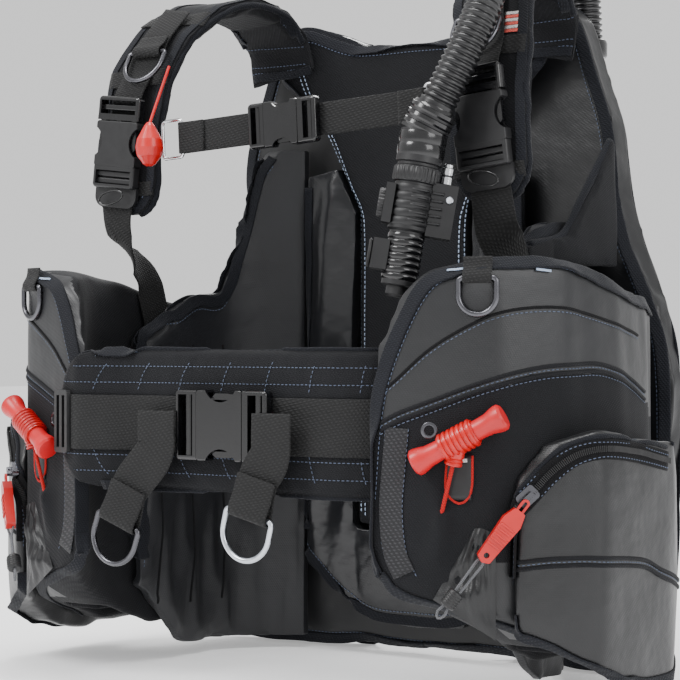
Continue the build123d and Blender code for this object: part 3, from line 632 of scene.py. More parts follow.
floor_z = cad_low[2] - 0.002
floor_mesh = bpy.data.meshes.new("floor")
floor_mesh.from_pydata([(x, y, floor_z) for x, y in ((-9, -9), (9, -9), (9, 9), (-9, 9))], [], [(0, 1, 2, 3)])
floor_material, _, floor_shader = node_material("pale_floor")
floor_shader.inputs["Base Color"].default_value = (0.90, 0.90, 0.905, 1)
floor_shader.inputs["Roughness"].default_value = 0.8
floor_shader.inputs["Emission Color"].default_value = (1, 1, 1, 1)
floor_shader.inputs["Emission Strength"].default_value = 0.35
floor_mesh.materials.append(floor_material)
floor = bpy.data.objects.new("floor", floor_mesh)
scene.collection.objects.link(floor)

# Inflator hose: a corrugated tube along one smooth spline -----------------------------------------
HOSE_ROUTE = [
    (153.6, 204.5, 618.6), (154, 204.3, 672), (155.5, 176, 718), (160, 126, 745), (172, 64, 744),
    (192, 2, 728), (211, -51, 692), (221, -89, 640), (206.5, -109, 583), (181.8, -118.6, 533.15),
]
HOSE_RADIUS, HOSE_GROOVE, HOSE_PITCH, HOSE_CUFF = 0.016, 0.0025, 0.0055, 0.006


def spline_points(route, order=3):
    curve = bpy.data.curves.new("route", "CURVE")
    curve.dimensions = "3D"
    curve.resolution_u = 40
    spline = curve.splines.new("NURBS")
    spline.points.add(len(route) - 1)
    for point, p in zip(spline.points, route):
        point.co = (*at(*p), 1)
    spline.order_u = order
    spline.use_endpoint_u = True
    obj = bpy.data.objects.new("route", curve)
    scene.collection.objects.link(obj)
    mesh = bpy.data.meshes.new_from_object(obj)
    points = [v.co.copy() for v in mesh.vertices]
    bpy.data.objects.remove(obj)
    bpy.data.meshes.remove(mesh)
    return points


def resample(points, step):
    total = sum((b - a).length for a, b in zip(points, points[1:]))
    count = max(2, round(total / step))
    out, gone, i = [points[0]], 0.0, 0
    for k in range(1, count):
        target = total * k / count
        while gone + (points[i + 1] - points[i]).length < target:
            gone += (points[i + 1] - points[i]).length
            i += 1
        out.append(points[i].lerp(points[i + 1], (target - gone) / (points[i + 1] - points[i]).length))
    return out + [points[-1]], total


hose_path, hose_length = resample(spline_points(HOSE_ROUTE), 0.00069)
verts, faces = [], []
ring = 40
side = Vector((1, 0, 0))
for i, p in enumerate(hose_path):
    along = (hose_path[min(i + 1, len(hose_path) - 1)] - hose_path[max(i - 1, 0)]).normalized()
    side = (side - along * side.dot(along)).normalized()
    up = along.cross(side)
    travelled = i * hose_length / (len(hose_path) - 1)
    ends = min(travelled, hose_length - travelled)
    wave = 0.5 + 0.5 * math.cos(2 * math.pi * travelled / HOSE_PITCH)
    radius = HOSE_RADIUS if ends < HOSE_CUFF else HOSE_RADIUS - HOSE_GROOVE * (1 - wave**0.55)
    for j in range(ring):
        a = 2 * math.pi * j / ring
        verts.append(p + (side * math.cos(a) + up * math.sin(a)) * radius)
for i in range(len(hose_path) - 1):
    for j in range(ring):
        a, b = i * ring + j, i * ring + (j + 1) % ring
        faces.append((a, b, b + ring, a + ring))
faces += [tuple(reversed(range(ring))), tuple(range(len(verts) - ring, len(verts)))]
hose = piece("corrugated_hose", verts, faces, "hose_rubber", slot="hose_rubber")
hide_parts("inflator_hose")

# Padded pieces ------------------------------------------------------------------------------------
wing = soft("wing_shell", ["wing_cover"], "coated_nylon", voxel=0.0065, cap=0.006, slack=0.07, wrinkle=0.0012,
            inward=0.003, drop_inner=True)
back = soft("backrest_centre", ["back_pad"], "nylon", voxel=0.0045, cap=0.003, slack=0.03, inward=0.0015)
lumbar = soft("lumbar_cushions", ["lumbar_pads"], "coated_nylon", voxel=0.0045, cap=0.004, slack=0.08,
    inward=0.002,
              wrinkle=0.001)
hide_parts("wing_cover", "bladder")
# The walls take the lightened coated nylon: painted light against the shadow they sit in
sides = soft("side_walls", ["side_panels"], "wall_cloth_painted_light", voxel=0.0048, cap=0.003, slack=0.05, inward=0.001,
             wrinkle=0.0008)
soft("underarm_cloth", ["underarm_gusset"], "nylon", voxel=0.003, cap=0.003, slack=0.08,
               inward=0.0, wrinkle=0.001)
soft("weight_pouch_pads", ["weight_pouches"], "inner_cell", voxel=0.006, cap=0.003, slack=0.04, inward=0.002)
panel = soft("pocket_body_left", ["pocket_panel_left"], "nylon", voxel=0.0045, cap=0.003, slack=0.05,
    inward=0.001,
             wrinkle=0.0006)
cargo = soft("cargo_bag_left", ["cargo_pocket_left"], "coated_nylon", voxel=0.0045, cap=0.006, slack=0.08,
             inward=0.003, wrinkle=0.0015)
strap = soft("strap_pad_left", ["shoulder_strap_left"], "nylon", voxel=0.004, cap=0.0035, slack=0.03,
    inward=0.0015)


def below(x, points):
    """Height of a polyline at x."""
    for (x0, h0), (x1, h1) in zip(points, points[1:]):
        if x0 <= x <= x1:
            return h0 + (h1 - h0) * (x - x0) / (x1 - x0)
    return points[0][1] if x < points[0][0] else points[-1][1]


YOKE_SIDE = [(-119, 306), (-90, 308), (-59, 308), (-19, 299), (16, 287), (70, 268)]
YOKE = [(150, 245), (185, 268), (213, 279), (241, 290), (267, 299), (285, 306), (320, 308)]


def coated_zone(centre, normal):
    """The panel's satin cloth: its outer faces above the double piping."""
    x, y, h = centre.x * 1000, centre.y * 1000 + TANK_Y, centre.z * 1000 + BAND_H
    outward = Vector((x - 150, y + 30, 0)).normalized().dot(normal) > 0.25
    seam = below(y, YOKE_SIDE) if y > -119 and x > 280 else below(x, YOKE)
    return outward and (h > seam or (x > 250 and h < 150))


def reshape(obj, move):
    """Moves each vertex of a finished soft piece, in the part's own millimetres."""
    for v in obj.data.vertices:
        x, y, h = move(v.co.x * 1000, v.co.y * 1000 + TANK_Y, v.co.z * 1000 + BAND_H)
        v.co = at(x, y, h)


def relax(obj, rounds):
    """Softens the creases that the CAD's flat faces leave in a finished soft piece."""
    mesh = bmesh.new()
    mesh.from_mesh(obj.data)
    for _ in range(rounds):
        bmesh.ops.smooth_vert(mesh, verts=mesh.verts, factor=0.5, use_axis_x=True, use_axis_y=True,
            use_axis_z=True)
    mesh.to_mesh(obj.data)
    mesh.free()


def ease(t):
    t = min(1.0, max(0.0, t))
    return t * t * (3 - 2 * t)


def droop(x, y, h):
    """The pocket's mouth falls towards the back, and its front corner is rounded off."""
    t = min(1.0, max(0.0, (h - 290) / 110))
    fall = 30 * ease((y + 140) / 170) + 24 * ease((204 - x) / 44)
    return x, y, h - fall * t


def pillow(x, y, h):
    """Soft upright folds in the lumbar cushions, and a slack hollow between them."""
    depth = 3.2 * math.sin((abs(x) - 70) / 58 * math.pi * 2.3 + h * 0.010) * ease((h - 110) / 60) * ease(
        (520 - h) / 40)
    wander = 1.4 * math.sin(h * 0.045 + x * 0.02) * ease((abs(x) - 72) / 10)
    inside = ease((abs(x) - 70) / 12) * ease((128 - abs(x)) / 8)
    return x + wander * ease((128 - abs(x)) / 14), y - (depth + 2.0) * inside, h


def sewn_end(x, y, h):
    """The strap's rear end lies flat where it is sewn to the backrest."""
    w = ease((660 - h) / 36) * ease((y - 78) / 16)
    return x, y + (113 - y) * 0.72 * w, h


def low_wall(x, y, h):
    """On the left the wall stops at the armhole, and the gusset goes on from there."""
    return x, y, min(h, 440 + (h - 440) * 0.03) if x > 0 and h > 440 else h


def draped_wall(x, y, h):
    """Below the waist the walls hang in shallow folds, with their lower front corners rounded."""
    low = 28 + 62 * ease((20 - y) / 80)
    if h < 200:
        h = 200 - (200 - h) * (200 - low) / 172
    hang = ease((230 - h) / 120) * ease((110 - y) / 50)
    fold = 4.2 * math.sin(y * 0.085 + 0.016 * h) + 1.6 * math.sin(y * 0.19 - 0.03 * h + 1)
    return x + math.copysign(fold * hang, x), y, h


relax(panel, 14)
relax(cargo, 14)
reshape(panel, droop)
reshape(sides, draped_wall)
reshape(lumbar, pillow)
reshape(strap, sewn_end)
reshape(sides, low_wall)
lumbar.data.materials[0] = M["gloss_coated"]
paint(panel, "satin", coated_zone)
mirror_piece(panel, "pocket_body_right", "pocket_panel_right", ("pocket_panel_right",))
mirror_piece(cargo, "cargo_bag_right", "cargo_pocket_right", ("cargo_pocket_right",))
mirror_piece(strap, "strap_pad_right", "shoulder_strap_right", ("shoulder_strap_right",))


# Surfaces that the sewn details lie on ------------------------------------------------------------
wing_tree, back_tree, lumbar_tree = surface_of(wing), surface_of(back), surface_of(lumbar)
side_tree, panel_tree, cargo_tree = surface_of(sides), surface_of(panel), surface_of(cargo)
pocket_tree, strap_tree = surface_of(panel, cargo), surface_of(strap)


def points(*triples):
    return [at(*p) for p in triples]


def shifted(line, dx=0.0, dy=0.0, dh=0.0):
    return [p + Vector((dx, dy, dh)) / 1000 for p in line]


def both_sides(line):
    return [line, [mirrored(p) for p in line]]


# Backrest: double rows of pale stitches, bound neckline and coated cushions -----------------------
centre_seam = points(
    (144, 118, 628), (127, 120, 583), (101, 122, 538), (82, 124, 492), (70, 125, 468), (65, 125, 437),
    (65, 126, 335), (65, 126, 240), (65, 126, 158),
)
rows = both_sides(shifted(centre_seam, -4.5)) + both_sides(shifted(centre_seam, -9.5))
stitches("backrest_stitches", back_tree, rows, "pale_thread", pitch=0.0048, length=0.0034, width=0.0013,
    lift=0.0008)
neckline = points((-164, 112, 640), (-150, 113, 647), (-120, 116, 648), (-70, 122, 631), (0, 127, 630),
    (70, 122, 631),
                  (120, 116, 648), (150, 113, 647), (164, 112, 640))
tape("neck_binding", back_tree, neckline, 0.011)
stitches("neck_stitches", back_tree, [shifted(neckline, dh=-6.5)])
for sign, side_name in SIDES:
    shoulder_edge = points(*[(sign * x, y, h) for x, y, h in (
        (163, 112, 642), (154, 113, 604), (130, 117, 577), (122, 118, 566))])
    tape("back_edge_binding_" + side_name, back_tree, shoulder_edge, 0.011)
cushion_hem = points((-126, 118, 118), (-90, 123, 82), (-54, 127, 58), (0, 128, 54), (54, 127, 58),
    (90, 123, 82), (126, 118, 118))
tape("cushion_binding", lumbar_tree, cushion_hem, 0.010)
stitches("cushion_stitches", lumbar_tree, [shifted(cushion_hem, dh=8)])
for sign, side_name in SIDES:
    outer_seam = points(*[(sign * x, y, h) for x, y,
        h in ((125, 118, 140), (125, 118, 300), (125, 118, 420), (124, 118, 492))])
    tape("cushion_side_binding_" + side_name, lumbar_tree, outer_seam, 0.009)

# Air cell: bound rims, piped seams and stitches ---------------------------------------------------
WING_OUTLINE = [
    (0, 22), (196, 24), (246, 38), (270, 102), (274, 300), (256, 370), (231, 428), (219, 470), (211, 535),
    (193, 588), (175, 636), (148, 657), (93, 641), (46, 624), (0, 622),
]


def wing_rim(inner):
    rim = []
    for x, h in WING_OUTLINE + [(-x, h) for x, h in reversed(WING_OUTLINE) if x > 0]:
        bow = (x / WING_HALF) ** 2
        rim.append(at(x, 150 - 22 * bow if inner else 192 - WING_SWEEP * bow, h))
    return rim + [rim[0]]


for inner, label in ((True, "front"), (False, "rear")):
    tape("wing_binding_" + label, wing_tree, wing_rim(inner), 0.012, thickness=0.0024, lift=0.0008)
    stitches("wing_stitches_" + label, wing_tree, [
        [p + (Vector((0, p.y, 0.02)) - p).normalized() * 0.009 for p in wing_rim(inner)]])
rear_seams = []
for x in (-168, -96, 96, 168):
    y = 192 - WING_SWEEP * (x / WING_HALF) ** 2
    rear_seams.append(points((x, y, 40), (x * 1.04, y, 200), (x, y, 400), (x * 0.9, y, 600)))
for i, seam in enumerate(rear_seams):
    cord_on("wing_piping_%d" % i, wing_tree, seam, 0.0017, "binding")
stitches("wing_rear_stitches", wing_tree, [shifted(s, dx=d) for s in rear_seams for d in (-5, 5)])

# Side walls: bound armholes -----------------------------------------------------------------------
def wall_x(y):
    return 201 if y <= 36 else 105 + math.sqrt(max(0, 96**2 - (y - 36) ** 2))


LEFT_ARMHOLE = [(-57, 120), (-57, 340), (-20, 414), (30, 434), (70, 438), (100, 438), (122, 438)]
RIGHT_ARMHOLE = [(-57, 120), (-57, 336), (-5, 362), (23, 375), (62, 379), (83, 434), (98, 502), (108, 524)]
for (sign, side_name), armhole in zip(SIDES, (LEFT_ARMHOLE, RIGHT_ARMHOLE)):
    for grow, face in ((-7, "inner"), (7, "outer")):
        line = points(*[(sign * (wall_x(y) + grow), y, h) for y, h in armhole])
        tape("armhole_binding_%s_%s" % (side_name, face), side_tree, line, 0.012, thickness=0.0018)
        if face == "inner":
            stitches("armhole_stitches_" + side_name, side_tree, [shifted(line, dh=-9)])
    # Thin dark cords laid along the walls' fold lines: painted shade in the creases of the pleats
    folds = [points(*[(sign * (wall_x(y) - 7), y, h) for y,
        h in ((y0, 330), (y0 + 6, 280), (y0, 210), (y0 + 5, 140), (y0, 70))])
             for y0 in (-35, 15, 60)]
    for i, fold in enumerate(folds):
        cord_on("wall_fold_shade_%s_%d" % (side_name, i), side_tree, fold, 0.0012, "lining")
gusset_rim = points((210.5, -8, 420), (214, 46, 431), (218, 75, 465), (222, 124, 522))
tube("gusset_binding", gusset_rim, 0.0038, "binding")


# Cummerbund: two quilted halves with bound edges --------------------------------------------------
def quilted(name, line, low, high, half=2.5, tip=0.0, tip_end=0.0, puff=1.1, plain=(231, 289)):
    """A quilted band: its plan is a list of x, y, and its ends may be rounded."""
    path, length = resample(smooth_path([at(x, y, 0) for x, y in line], 0.003), 0.004)
    length *= 1000
    columns, rows_n = len(path), 34
    normals = []
    for i in range(columns):
        along = path[min(i + 1, columns - 1)] - path[max(i - 1, 0)]
        normals.append(Vector((along.y, -along.x, 0)).normalized())
    middle, reach = (low + high) / 2, (high - low) / 2

    def cut(h, radius):
        d = max(0.0, abs(h - middle) - (reach - radius))
        return radius - math.sqrt(max(0.0, radius**2 - d * d)) if radius else 0.0

    front, rear, rim = [], [], []
    for j in range(rows_n + 1):
        h = low + (high - low) * j / rows_n
        s0, s1 = cut(h, tip), length - cut(h, tip_end)
        for i in range(columns):
            s = s0 + (s1 - s0) * i / (columns - 1)
            t = s / length * (columns - 1)
            k = min(int(t), columns - 2)
            p = path[k].lerp(path[k + 1], t - k)
            n = normals[k].lerp(normals[k + 1], t - k).normalized()
            e = min(s - s0, s1 - s, h - low, high - h)
            round_edge = math.sqrt(max(0.0, 1 - (1 - min(1.0, e / 3.5)) ** 2))
            cell = abs(math.sin(math.pi * s / 41)) * abs(math.sin(math.pi * (h - low) / (high - low) * 4))
            swell = puff * cell**0.45 * round_edge * (0.25 if plain[0] < h < plain[1] else 1.0)
            crease = 0.35 * math.sin(s * 0.31 + h * 0.13) * math.sin(h * 0.23 - s * 0.05) * round_edge
            base = p + Vector((0, 0, h / 1000))
            front.append(base + n * (half * round_edge + swell + crease) / 1000)
            rear.append(base - n * half * round_edge / 1000)
    count = len(front)
    faces = []
    for j in range(rows_n):
        for i in range(columns - 1):
            a = j * columns + i
            faces.append((a, a + 1, a + 1 + columns, a + columns))
            faces.append(tuple(count + k for k in (a + columns, a + 1 + columns, a + 1, a)))
    border = list(range(columns)) + [j * columns + columns - 1 for j in range(1, rows_n + 1)]
    border += [rows_n * columns + i for i in range(columns - 2, -1, -1)] + [j * columns
        for j in range(rows_n - 1, 0, -1)]
    for a, b in zip(border, border[1:] + border[:1]):
        faces.append((b, a, count + a, count + b))
    obj = piece(name, front + rear, faces, "nylon", slot="nylon")
    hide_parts("cummerbund")
    step = max(1, len(border) // 90)
    return obj, [front[i] for i in border[::step]], [[front[j * columns + i] for i in range(0, columns, 6)]
        for j in range(0, rows_n + 1)]


def arc_plan(o, end_y, sign=1):
    plan = [(sign * x, -170 - o) for x in (60, 90)]
    plan += [(sign * (105 + (90 + o) * math.sin(math.radians(a))),
        -80 - (90 + o) * math.cos(math.radians(a))) for a in range(8, 90, 12)]
    return plan + [(sign * (195 + o), -78), (sign * (195 + o), end_y)]


outer_plan = [(-192.6, -180.2), (-176, -186), (-159, -191.6), (-150, -190), (-130, -185), (-104, -178.6),
    (-60, -178.5), (0, -178.5)]
outer_belt, outer_rim, outer_rows = quilted("cummerbund_outer", outer_plan + arc_plan(8.5, -66), BELT_LOW,
    BELT_HIGH, tip=55)
inner_plan = [(58, -173), (0, -173), (-50, -173)] + arc_plan(3, -66, -1)
quilted("cummerbund_inner", list(reversed(inner_plan)), BELT_LOW, BELT_HIGH, puff=0.8)
belt_tree = surface_of(outer_belt)
belt_middle = ((BELT_LOW + BELT_HIGH) / 2 - BAND_H) / 1000
inset_rim = [p + (Vector((0.02, p.y, belt_middle)) - p).normalized() * 0.0055 for p in outer_rim]
tape("cummerbund_binding", belt_tree, [p for p in inset_rim if p.x < 0.19], 0.0115, thickness=0.0018,
    lift=0.0006)
stitch_rows = [row for j, row in enumerate(outer_rows) if j in (4, 8, 26, 30)]
uprights = []
for i in range(2, len(outer_rows[0]) - 1, 2):
    uprights += [[outer_rows[j][i] for j in range(3, 10)], [outer_rows[j][i] for j in range(24, 32)]]
stitches("cummerbund_stitches", belt_tree, stitch_rows + uprights, width=0.0008)
stitches("cummerbund_edge_stitches", belt_tree,
    [[p + (Vector((0.02, p.y, belt_middle)) - p).normalized() * 0.0085 for p in outer_rim if p.x < 0.18]])

# Waist belt ---------------------------------------------------------------------------------------
UP = Vector((0, 0, 1))


def level(line, h):
    return [at(x, y, h) for x, y in line]


left_web = ribbon("waist_web_left", level([(50, -183)] + arc_plan(13, -67), 260), UP, 0.050, 0.0022,
    "webbing", slot="webbing")
right_web = ribbon("waist_web_right", level([(-32, -183), (-70, -183), (-104.4, -183), (-130, -190),
    (-156.4, -197.0), (-170, -192.4), (-182.2, -188.1)], 260),
                   UP, 0.050, 0.0022, "webbing", slot="webbing")
for web in (left_web, right_web):
    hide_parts("waist_webbing")
sewn = []
for x0, x1 in ((-66, -40), (62, 92)):
    for h in (239, 281):
        sewn.append(level([(x0, -184.4), (x1, -184.4)], h))
web_tree = surface_of(left_web, right_web)
stitches("waist_web_stitches", web_tree, sewn, "lining", width=0.001)


def hanging_tail(name, top, bottom, tilt, body, node):
    """A webbing tail from the belt buckle, folded round a D-ring's bar and sewn back on itself."""
    c, s = math.cos(math.radians(tilt)), math.sin(math.radians(tilt))
    x, y, h = bottom
    across = Vector((c, 0, s))
    down = Vector((s, 0, -c))

    def spot(d, out):
        return at(x, y, h) - down * d / 1000 + Vector((0, -1, 0)) * out / 1000

    path = [at(top[0], top[1], top[2] + 4), at(top[0], top[1] - 0.5, top[2] - 14),
        at(top[0] + s * 6, top[1] - 0.3, top[2] - 34)]
    path += [spot(34, -3), spot(14, -3.1), spot(4, -4.2), spot(-3.2, -2.4), spot(-4.4, 0.4), spot(-2.6, 3.2),
        spot(4, 4.2), spot(16, 1.4), spot(33, 0.2)]
    sides_list = [Vector((1, 0, 0))] * 2 + [Vector((1, 0, 0.1))] + [across] * 9
    obj = ribbon(name, path, sides_list, 0.042, 0.0021, "webbing", body, step=0.003, slot="webbing")
    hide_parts(node)
    tree = surface_of(obj)
    lines = []
    for d in (12, 27):
        lines.append([spot(d, 3) - across * 0.018, spot(d, 3) + across * 0.018])
    lines += [[spot(12, 3) + across * k, spot(27, 3) - across * k] for k in (-0.018, 0.018)]
    stitches(name + "_stitches", tree, lines, "thread", body, pitch=0.003, length=0.0022)
    return obj


hanging_tail("belt_tail_right", (-62, -198.5, 268), (-104, -200.5, 172), -20, "tail_right",
    "waist_tail_right")
hanging_tail("belt_tail_left", (66, -198.5, 268), (44, -200.5, 184), -14, "tail_left", "waist_tail_left")

# Chest strap --------------------------------------------------------------------------------------
chest = seat(17, -77, 536, 0, 3)
chest_up = (chest(0, 1) - chest(0, 0)).normalized()


def chest_web(name, start, end, node, sign):
    """Chest webbing that folds round a link at its end and is sewn back on itself."""
    r = 2.6
    route = [
        (start, 0), ((start + end) / 2, 0), (end - sign * 4, -0.6), (end + sign * r * 0.6, -0.4),
        (end + sign * r, r * 0.9),
        (end + sign * r * 0.4, r * 1.7), (end - sign * 6, 2.7), (end - sign * 26, 2.3),
    ]
    path = [chest(p, 0, out) for p, out in route]
    obj = ribbon(name, path, chest_up, 0.030, 0.0018, "webbing", "chest_strap", step=0.003, slot="webbing")
    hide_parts(node)
    return obj


chest_right = chest_web("chest_web_right", -20, -147, "sternum_web", -1)
chest_left = chest_web("chest_web_left", 6, 127, "sternum_web", 1)
chest_tree = surface_of(chest_right, chest_left)
stitches("chest_web_stitches", chest_tree,
    [[chest(x, -12.5, 4), chest(x, 12.5, 4)] for x in (-126, -138, 104, 117)], "thread", "chest_strap",
    pitch=0.003, length=0.0022)

# Shoulder straps: bound edges, keepers, webbing and loops -----------------------------------------
STRAP = [
    (208, -66, 458, 17), (208, -66, 464, 30), (208, -66, 476, 37), (207, -66, 488, 40), (205, -65, 535, 40),
    (200, -52, 595, 40),
    (188, -30, 636, 40), (174, 4, 662, 40), (166, 42, 670, 40), (160, 82, 662, 40), (157, 104, 640, 40),
]
for edge, label in ((1, "outer"), (-1, "inner")):
    rim = points(*[(x + edge * (w - 1.5), y, h) for x, y, h, w in STRAP])
    seam = points(*[(x + edge * (w - 7), y - 7, h + 3) for x, y, h, w in STRAP])
    row = points(*[(x + edge * (w - 10.5), y - 7, h + 3) for x, y, h, w in STRAP])
    other_side(
        cord_on("strap_binding_%s_left" % label, strap_tree, rim, 0.0036, "binding", lift=-0.0006),
        tape("strap_edge_tape_%s_left" % label, strap_tree, seam, 0.009, thickness=0.0012),
        stitches("strap_stitches_%s_left" % label, strap_tree, [row]),
    )


def strap_at(h):
    for (x0, y0, h0, _), (x1, y1, h1, _) in zip(STRAP, STRAP[1:]):
        if h0 <= h <= h1:
            t = (h - h0) / (h1 - h0)
            return x0 + (x1 - x0) * t, y0 + (y1 - y0) * t
    return STRAP[8][:2]


keepers = []
for i, (h, width) in enumerate(((648, 0.020), (590, 0.017), (480, 0.014))):
    x, y = strap_at(h)
    line = points(*[(x + d, y - 9, h + 2) for d in (-38, -20, 0, 20, 38)])
    keepers.append(tape("strap_keeper_%d_left" % i, strap_tree, line, width, "webbing", thickness=0.0016,
        lift=0.001, step=0.006))
other_side(*keepers)

end_rows = [points(*[(157 + d, 100, h) for d in (-38, -20, 0, 20, 38)]) for h in (612, 618, 634)]
end_stitches = stitches("strap_end_stitches_left", strap_tree, end_rows)
end_tape = tape("strap_end_tape_left", strap_tree,
    points(*[(151 + d, 100, 607) for d in (-38, -20, 0, 20, 38)]), 0.009, thickness=0.0014)
other_side(end_stitches, end_tape)
tilt = math.tan(math.radians(6.5))


def on_line(h, y):
    return (206 - (h - 524) * tilt, y, h)


lower = points((206 - 14 * tilt, -77.3, 538), on_line(500, -77.3), on_line(456, -77.2), (214, -69, 430),
    (213.5, -50, 412), (212.5, -31, 392), (212, -18, 352))
lower_sides = [(1, 0, 0), (1, 0, 0), (1, 0, 0), (1, 0.25, 0), (0.3, 1, 0), (0, 1, 0), (0, 1, 0)]
upper = points(on_line(553, -77.2), on_line(574, -75.4), (197, -60.6, 600), (189, -47.6, 631),
    (180, -24.6, 661))
lower_web = ribbon("shoulder_web_lower_left", lower, lower_sides, 0.039, 0.002, "webbing", slot="webbing")
upper_web = ribbon("shoulder_web_upper_left", upper, (1, 0, 0), 0.036, 0.002, "webbing", slot="webbing")
ring_axis_z = Vector((0, -0.87, 0.49)).normalized()
ring_axis_y = ring_axis_z.cross(Vector((1, 0, 0)))


def by_ring(p, q, s):
    return at(189, -59.5, 617) + (Vector((1, 0, 0)) * p + ring_axis_y * q + ring_axis_z * s) / 1000


loop_path = [by_ring(0, 19, -3.4), by_ring(0, 8, -3.9), by_ring(0, 1.5, -4.1), by_ring(0, -3, -2.8),
    by_ring(0, -4.2, 0),
             by_ring(0, -2.8, 3.1), by_ring(0, 2, 4.2), by_ring(0, 9, 1), by_ring(0, 19, -1.4)]
ring_web = ribbon("ring_loop_left", loop_path, (1, 0, 0), 0.034, 0.0016, "webbing", step=0.002,
    slot="webbing")
for web in (lower_web, upper_web, ring_web):
    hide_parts("shoulder_webbing")
    twin = mirror_piece(web, web.name.replace("_left", "_right"), "harness", ("shoulder_webbing",))
    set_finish(twin, "webbing")
loop_stitch = stitches("ring_loop_stitches_left", surface_of(ring_web),
    [[by_ring(-14, q, 2), by_ring(14, q, 2)] for q in (10, 16)], pitch=0.003, length=0.0022)
web_trees = surface_of(lower_web, upper_web)
fold_lines = [points((184, -62, 606), (210, -62, 606)), points((180, -50, 625), (204, -50, 625))]
web_stitch = stitches("shoulder_web_stitches_left", web_trees, fold_lines, pitch=0.003, length=0.0022)
other_side(loop_stitch, web_stitch)

# Thumb ovals on the shoulder buckles' tabs
for sign, side_name in SIDES:
    oval = []
    for i in range(25):
        a = 2 * math.pi * i / 24
        q, p = 466 + 6.5 * math.sin(a) + 8, 15 * math.cos(a)
        base = on_line(q, -77 - 10.6)
        oval.append(at(sign * (base[0] + p), -89.2, q - p * tilt))
    tube("tab_oval_" + side_name, oval, 0.0009, "gloss_plastic", "shoulder_socket_" + side_name, step=0.003,
        n=8)

# A generic striped patch on the left strap
for i in range(6):
    h = 582.5 + i * 3.4
    x, y = strap_at(h + 24)
    line = points(*[(x + d, y - 9, h + 20) for d in (17.5, 24, 31)])
    tape("patch_stripe_%d" % i, strap_tree, line, 0.0034, "coral_cloth" if i % 2 == 0 else "white_cloth",
        thickness=0.0014, lift=0.0012)


def drooped(*triples):
    return [at(*droop(*p)) for p in triples]


# Pockets: bound edges, coated yoke, mesh strip, piping, zip and fittings --------------------------
edge = drooped((160, -187, 128), (159, -188, 160), (159, -188, 205), (166, -185, 285), (181, -180, 341),
    (204, -172, 380), (232, -163, 396), (262, -151, 402),
              (286, -119, 403), (303, -80, 403), (311, -30, 403), (303, 38, 402), (285, 86, 392))
bottom = points((159, -187, 158), (166, -185, 134), (181, -180, 119), (206, -171, 104), (233, -162, 90),
    (262, -150, 76), (286, -119, 64), (303, -80, 54), (311, -30, 50))
left_items = []
left_items.append(tape("pocket_binding_left", panel_tree, edge, 0.014, thickness=0.0022, lift=0.0006))
left_items.append(tape("pocket_hem_left", panel_tree, bottom, 0.012, thickness=0.0022, lift=0.0006))
seam_arc = drooped((170, -184, 292), (181, -180, 302), (209, -170, 327), (241, -159, 347), (268, -142, 359),
    (296, -106, 364), (309, -59, 363), (306, 16, 357))
left_items.append(cord_on("pocket_seam_left", panel_tree, seam_arc, 0.0014, "lining"))
left_items.append(stitches("pocket_seam_stitches_left", panel_tree,
    [shifted(seam_arc, dh=-3.5), shifted(edge[2:], dx=7, dh=-4)], width=0.0008))
yoke = points((169, -184, 259), (185, -179, 268), (213, -169, 279), (241, -159, 290), (267, -148, 299),
    (287, -119, 306), (301, -90, 308), (309, -59, 308), (311, -19, 299), (306, 16, 287), (303, 28, 283))
for k, d in enumerate((0.0, 6.5)):
    left_items.append(cord_on("yoke_piping_%d_left" % k, panel_tree, shifted(yoke, dh=d), 0.0019, "nylon"))
left_items.append(stitches("yoke_stitches_left", panel_tree, [shifted(yoke, dh=3.3), shifted(yoke, dh=-3.4)],
    width=0.0008))
strip = points((183, -179, 262), (180, -180, 227), (178, -181, 193), (181, -180, 160), (189, -177, 140))
left_items.append(tape("mesh_strip_left", panel_tree, strip, 0.020, "mesh_cloth", thickness=0.001))
left_items.append(stitches("mesh_strip_stitches_left", panel_tree,
    [shifted(strip, dx=-10), shifted(strip, dx=10.5)]))
tag_line = points((234, -162, 241), (233, -162, 203))
left_items.append(tape("tag_left", pocket_tree, tag_line, 0.021, "rubber", thickness=0.0016, lift=0.001))
tag_rim = points((224, -165, 240), (222.5, -166, 214), (226, -164, 204), (233, -162, 200), (240, -160, 204),
    (243.5, -159, 214), (244, -159, 240))
left_items.append(cord_on("tag_edge_left", pocket_tree, tag_rim, 0.0011, "red_cord", lift=0.0012))
left_items.append(tape("tag_bar_left", pocket_tree, points((229, -163, 235), (240, -160, 236)), 0.0032,
    "white_cloth", thickness=0.0012, lift=0.0026))
for k, (x0, x1) in enumerate(((222, 238), (283, 291))):
    y0, y1 = (-165, -162) if k == 0 else (-124, -113)
    tack = tape("bar_tack_%d_left" % k, panel_tree, drooped((x0, y0, 394), (x1, y1, 394)), 0.0022,
        "pale_thread", thickness=0.001, lift=0.0026)
    left_items.append(tack)
spot = on_panel(209, 260, 0)
eyelet_axis = spot(0, 0, 1) - spot(0, 0, 0)
left_items.append(lathe("eyelet_left", [(7.6, 0.2), (7.4, 1.4), (6, 2.2), (4.4, 2.0), (3.6, 1.0), (0.4, 0.9)],
    spot(0, 0, 0), eyelet_axis, "dark_steel"))

